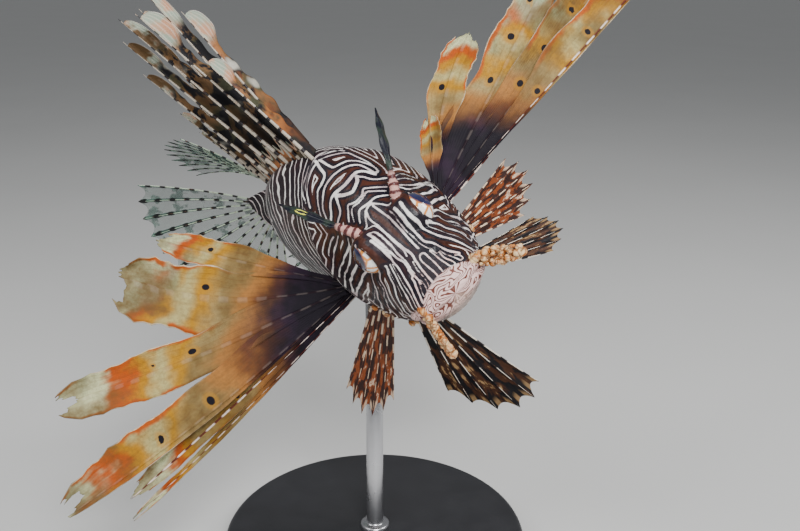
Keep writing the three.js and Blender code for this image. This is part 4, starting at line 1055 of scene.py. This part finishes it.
def vane(k):
    back = along(0, 0.75, 0.62, 0.1)

    def centre(u, v):
        tip = rounded(u, 0.86)
        tatter = 1 + 0.14 * np.sin(u * 40 + k * 2) * smooth(u, 0.1, 0.3) * (u < 0.72)
        low = (3.6 + 3.4 * (1 - smooth(u, 0.35, 0.7))) * np.maximum(0.2, tip)
        flag = (WIDE_FLAG if k < WIDE_FLAGS else NARROW_FLAG) * smooth(u, 0.74, 0.84) * tip
        place, start = spine(k, 0.06 + 0.91 * u)
        curl = np.cross(back, start) * (0.9 * np.sin(v * 2.6) * smooth(u, 0.45, 0.85))[..., None]
        return place + back * (v * (low + flag) * tatter * SPINE_LENGTHS[k] / 70)[..., None] + curl

    return sheet(90, 9, centre, lambda u, v: 0.2 - 0.06 * v, lambda u, v: dict(number=k + 0 * u))


def foot_web(u, v):
    q = FIRST_ROOT - 1 + (LAST_ROOT - FIRST_ROOT + 3) * v
    scallop = 1 - 0.45 * np.sin(v * SPINES[-1] % 1 * np.pi)
    foot = on_body(q, 0 * q, station(q, BACK) - 2)
    return foot + along(0, 0.5, 0, 0.87) * (u * WEB_HEIGHT * scallop)[..., None]


vanes = [vane(k) for k in SPINES]
vanes.append(sheet(12, 144, foot_web, lambda u, v: 0.4 - 0.2 * u, lambda u, v: dict(number=0 * u)))
make_piece("dorsal_vanes", "fins", "dorsal_fin_spines", vane_finish(), *joined(vanes))
spine_look = ray_finish("dorsal_spines", (0.42, 0.37, 0.30), (0.010, 0.007, 0.009), 10.0, 0.58)
rods = [spine(k, np.linspace(0, 1, 30))[0] for k in SPINES]
ray_piece("dorsal_spine_rods", "fins", "dorsal_fin_spines", rods, SPINE_RADIUS, spine_look, 8, SPINE_TAPER)


# Eye tentacles: a knobbed, ringed stalk over each eye that carries a flat dark leaf, the right one with an
# eyespot. They are soft skin, and stand on the bony brows.
EYE_TENTACLE = dict(
    left=dict(direction=(0.42, 0.55, 0.72), length=36, leaf=3.0, spot=0.0),
    right=dict(direction=(0.5, -0.42, 0.76), length=34, leaf=5.5, spot=1.0),
)
TENTACLE_ROOT = dict(q=25, side=7.2, level=23.5)
LEAF_FROM, LEAF_SHARE, KNOBS_TO = 0.32, 0.67, 0.36
STALK_PINK, STALK_DARK = (0.55, 0.30, 0.26), (0.08, 0.02, 0.02)
LEAF_BLACK, LEAF_GREEN = (0.005, 0.006, 0.013), (0.020, 0.032, 0.024)
EYESPOT_YELLOW, EYESPOT_DARK = (0.75, 0.75, 0.10), (0.02, 0.02, 0.03)
STALK_PLACES, STALK_RADII = [0, 0.15, 0.3, 0.62, 1], [1.7, 1.8, 1.1, 0.7, 0.25]


def tentacle_finish():
    f = Finish("tentacle")
    u, v, spot = f.own("u"), f.own("v"), f.own("spot")
    wander = f.sway(300)
    band = (u * 14 + wander * 0.8).fract()
    stalk = f.blend(band.ramp(0.4, 0.55) * band.fall(0.85, 0.98), STALK_PINK, STALK_DARK)
    leaf = f.blend(f.patches(220, 0.4, 0.62), LEAF_BLACK, LEAF_GREEN)
    f.colour = f.blend(u.ramp(0.26, 0.36), stalk, leaf)
    ring = ((u - 0.72) * 26).math("POWER", 2.0) + ((v - 0.5) * 6).math("POWER", 2.0)
    f.paint(spot * ring.fall(2.6, 4.2), EYESPOT_YELLOW)
    f.paint(spot * ring.fall(1.0, 1.5), EYESPOT_DARK)
    f.surface(0.35 + wander * 0.2, f.noise(700, 3), 0.4, 0.0003, gloss=0.25)
    return f


def tentacle(name, side):
    given = EYE_TENTACLE[name]
    root = on_body(TENTACLE_ROOT["q"], side * TENTACLE_ROOT["side"], TENTACLE_ROOT["level"])
    way = along(0, *given["direction"])
    bent = unit(way + np.array([-0.5, 0, -0.12]))
    s = np.linspace(0, 1, 60)
    knobs = 1 + 0.16 * np.sin(s * 70) * (s < KNOBS_TO)
    radii = np.interp(s, STALK_PLACES, STALK_RADII) * knobs
    stalk = lathe_tube(bowed(root, way, bent, given["length"], s), radii, 12)
    across = unit(np.cross([0.3, 1, 0.6], way))

    def centre(u, v):
        width = given["leaf"] * np.sin(np.pi * np.minimum(1, u * 0.9 + 0.08)) ** 0.8
        place = bowed(root, way, bent, given["length"], LEAF_FROM + LEAF_SHARE * u)
        ruffle = 0.25 * np.sin(u * 19) * (v * 2 - 1)
        facing = np.cross(across, way)
        return place + across * ((v * 2 - 1) * width * 0.6)[..., None] + facing * ruffle[..., None]

    leaf = sheet(50, 12, centre, lambda u, v: 0.2 + 0.12 * np.sin(v * np.pi), lambda u, v: {})
    leaf[2]["u"] = LEAF_FROM + LEAF_SHARE * leaf[2]["u"]
    points, faces, values = joined([stalk, leaf])
    values["spot"] = np.where(np.arange(len(points)) < len(stalk[0]), 0.0, given["spot"])
    return points, faces, values


tentacle_look = tentacle_finish()
for name, side in SIDES:
    make_piece("tentacle_" + name, "flaps", "eye_tentacle_" + name, tentacle_look, *tentacle(name, side))


# Snout barbels: fleshy, lobed flaps on the upper lip, cream and orange, with smaller flaps on the cheeks.
# Each is a cluster of lobes wound about its own middle line.
BARBEL = dict(left=((-4.5, 11, 1), (2, 24.5, -5)), right=((-4.5, -11, 1), (3, -13.5, -13)))
LOBES, LOBE_RADIUS, GOLDEN_TURN, SPREAD = 42, 1.25, 2.4, 2.2
# The last colour is painted shade, for the creases between the lobes.
CREAM, ORANGE, CREASE_SHADE = (0.72, 0.52, 0.28), (0.50, 0.16, 0.02), (0.22, 0.06, 0.012)
CHEEK_FLAPS = [(57, 112, 1.2), (50, 117, 1.5), (38, 129, 1.3), (30, 126, 0.8)]


def flap_finish():
    f = Finish("snout_flaps")
    wander = f.noise(500, 3)
    folds = f.cells(430, "DISTANCE_TO_EDGE")
    f.colour = f.blend(f.patches(330, 0.4, 0.62), CREAM, ORANGE)
    # Painted shade: orange-brown darkens the creases between the lobes, where shade falls.
    f.paint(folds.fall(0.02, 0.14) * 0.8, CREASE_SHADE)
    f.surface(0.4 + (wander - 0.5) * 0.2, folds + wander * 0.3, 0.8, 0.0005, gloss=0.4)
    return f


def ball(centre, radius, sides, stretch=(1, 1, 1)):
    """A closed ball of rings, stretched along the three axes."""
    turn = np.linspace(0, np.pi, sides // 2 + 1)[1:-1, None]
    around = np.arange(sides) / sides * 2 * np.pi
    up = np.array([0, 0, radius * stretch[2]])
    ring = np.stack([np.cos(around) * stretch[0], np.sin(around) * stretch[1], 0 * around], axis=1)
    rings = (centre - np.cos(turn) * up)[:, None] + np.sin(turn)[..., None] * radius * ring
    return *closed_tube(rings, centre - up, centre + up), {}


flap_look = flap_finish()
for name, side in SIDES:
    root, tip = np.array(BARBEL[name], float)
    lobes = []
    for k in range(LOBES):
        t = k / (LOBES - 1)
        turn, spread = k * GOLDEN_TURN, SPREAD * math.sin(math.pi * (0.15 + 0.7 * t))
        swirl = np.array([math.cos(turn), 0.4 * math.sin(turn), math.sin(turn)])
        centre = root + (tip - root) * t + swirl * spread
        radius = LOBE_RADIUS + 0.5 * math.sin(k * 2.3)
        lobes.append(ball(centre, radius, 12, (1, 1, 0.8 + 0.3 * math.cos(k * 1.7))))
    for q, down, size in CHEEK_FLAPS:
        girth = math.pi / 2 - math.radians(down) * side
        lobes.append(ball(skin_point(q, girth, size * 0.6), size, 14, (0.8, 0.9, 1.2)))
    make_piece("barbel_" + name, "flaps", "snout_barbel_" + name, flap_look, *joined(lobes))


# Eyes: a wet ball set in each bony orbit. The pupil is dark blue and looks sideways and back, and the iris
# round it is white with branching orange lines. Places on the ball are degrees from the pupil's middle.
PUPIL = dict(facing=(0.08, 0.9, 0.4), radius=39, rim=43, edge=2)
EYE_GAP = 0.1
PUPIL_BLACK, PUPIL_BLUE, RIM_BROWN = (0.003, 0.004, 0.016), (0.010, 0.012, 0.060), (0.20, 0.08, 0.06)
IRIS_WHITE, VEIN_ORANGE = (0.86, 0.86, 0.84), (0.62, 0.22, 0.03)


def eye_finish():
    f = Finish("eyes")
    tint = f.noise(240, 2)
    angle = f.own("angle") + (tint - 0.5) * 6
    f.colour = f.blend(tint.ramp(0.4, 0.65), PUPIL_BLACK, PUPIL_BLUE)
    veins = f.cells(240, "DISTANCE_TO_EDGE").fall(0.05, 0.16)
    f.paint(angle.ramp(PUPIL["radius"], PUPIL["radius"] + PUPIL["edge"]), RIM_BROWN)
    iris = f.blend(veins, IRIS_WHITE, VEIN_ORANGE)
    f.paint(angle.ramp(PUPIL["rim"], PUPIL["rim"] + PUPIL["edge"]), iris)
    f.surface(0.08 + tint * 0.05, f.noise(600, 2), 0.04, 0.0002, Coat_Weight=1.0)
    return f


eye_look = eye_finish()
for name, side in SIDES:
    centre = on_body(EYE["q"], side * EYE["side"], EYE["level"])
    points, faces, values = ball(centre, EYE["radius"] - EYE_GAP, 96)
    facing = unit(np.array(PUPIL["facing"]) * [1, side, 1])
    values["angle"] = np.degrees(np.arccos(np.clip(unit(points - centre) @ facing, -1, 1)))
    make_piece("eyeball_" + name, "eyes", "eye_" + name, eye_look, points, faces, values)


# Stand: a turned, satin black disc with an eased rim, and a brushed steel rod that rises from a small collar.
# The profiles are pairs of a radius and a height.
def stand_finish(name, low, high, metal, rough):
    f = Finish(name)
    tint = f.noise(90, 4)
    f.colour = f.blend(tint, low, high)
    f.surface(rough + tint * 0.12, f.noise(1400, 3), 0.15, 0.0002, Metallic=metal)
    return f


def lathed(profile, sides=96):
    """A piece turned on the stand's upright axis, as points in the fish's frame."""
    radii, heights = np.array(profile, float).T
    points, faces, _ = lathe_tube(np.stack([0 * heights, 0 * heights, heights], axis=1), radii, sides)
    return (points * MM - SHIFT) @ STANCE.T / MM, faces, {}


base_box, rod_box = (np.array(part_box(name)) / MM for name in ("stand_base", "stand_rod"))
rim, top = base_box[1][0], base_box[1][2]
rod, rod_top = rod_box[1][0], rod_box[1][2]
COLLAR, POINT = 6.2, 0.01
disc_profile = [(POINT, 0), (rim - 1.2, 0.01), (rim - 0.8, 0.02), (rim - 0.3, 0.35), (rim, 1), (rim, 1.4),
                (rim, top - 2.2), (rim - 0.1, top - 1.7), (rim - 0.6, top - 0.8), (rim - 1.4, top - 0.2),
                (rim - 2, top - 0.04), (rim - 2.6, top - 0.03), (POINT, top)]
rod_profile = [(POINT, top - 0.2), (COLLAR - 0.4, top - 0.1), (COLLAR, top + 0.3), (COLLAR, top + 2.2),
               (COLLAR - 0.5, top + 2.8), (rod + 0.7, top + 3), (rod + 0.1, top + 3.3), (rod, top + 3.9),
               (rod, rod_top + 1)]
satin = stand_finish("satin_black", (0.014, 0.014, 0.016), (0.03, 0.03, 0.034), 0.0, 0.34)
steel = stand_finish("brushed_steel", (0.52, 0.52, 0.54), (0.66, 0.66, 0.68), 1.0, 0.22)
make_piece("stand_disc", "base", "stand_base", satin, *lathed(disc_profile))
make_piece("stand_post", "rod", "stand_rod", steel, *lathed(rod_profile))

# Floor and light: a plain pale floor, and large soft lamps from above and both sides. Each lamp has a place,
# a size and a power, and all are aimed at the fish.
FLOOR_SIZE = 60
WORLD_TONE, WORLD_STRENGTH = (0.80, 0.82, 0.84, 1), 0.30
AIM = Vector((0, 0, 0.18))
LAMPS = [((-0.05, -0.62, 0.62), 0.28, 7.5), ((0.62, -0.3, 0.7), 0.35, 4.0), ((-0.6, -0.1, 0.7), 0.35, 3.5)]

floor_look = Finish("floor")
tint = floor_look.noise(6, 2)
floor_look.colour = floor_look.blend(tint, (0.62, 0.62, 0.61), (0.66, 0.66, 0.65))
floor_look.surface(0.6 + tint * 0.05, floor_look.noise(300, 2), 0.05, 0.0005)
bpy.ops.mesh.primitive_plane_add(size=FLOOR_SIZE)
floor = bpy.context.object
floor.name = "floor"
floor.data.materials.append(floor_look.material)
world = bpy.context.scene.world or bpy.data.worlds.new("studio")
bpy.context.scene.world = world
world.use_nodes = True
world.node_tree.nodes["Background"].inputs["Color"].default_value = WORLD_TONE
world.node_tree.nodes["Background"].inputs["Strength"].default_value = WORLD_STRENGTH
for place, size, power in LAMPS:
    light = bpy.data.lights.new("soft", "AREA")
    light.size, light.energy = size, power
    lamp = bpy.data.objects.new("soft", light)
    lamp.location = place
    lamp.rotation_mode = "QUATERNION"
    lamp.rotation_quaternion = (Vector(place) - AIM).to_track_quat("Z", "Y")
    bpy.context.collection.objects.link(lamp)
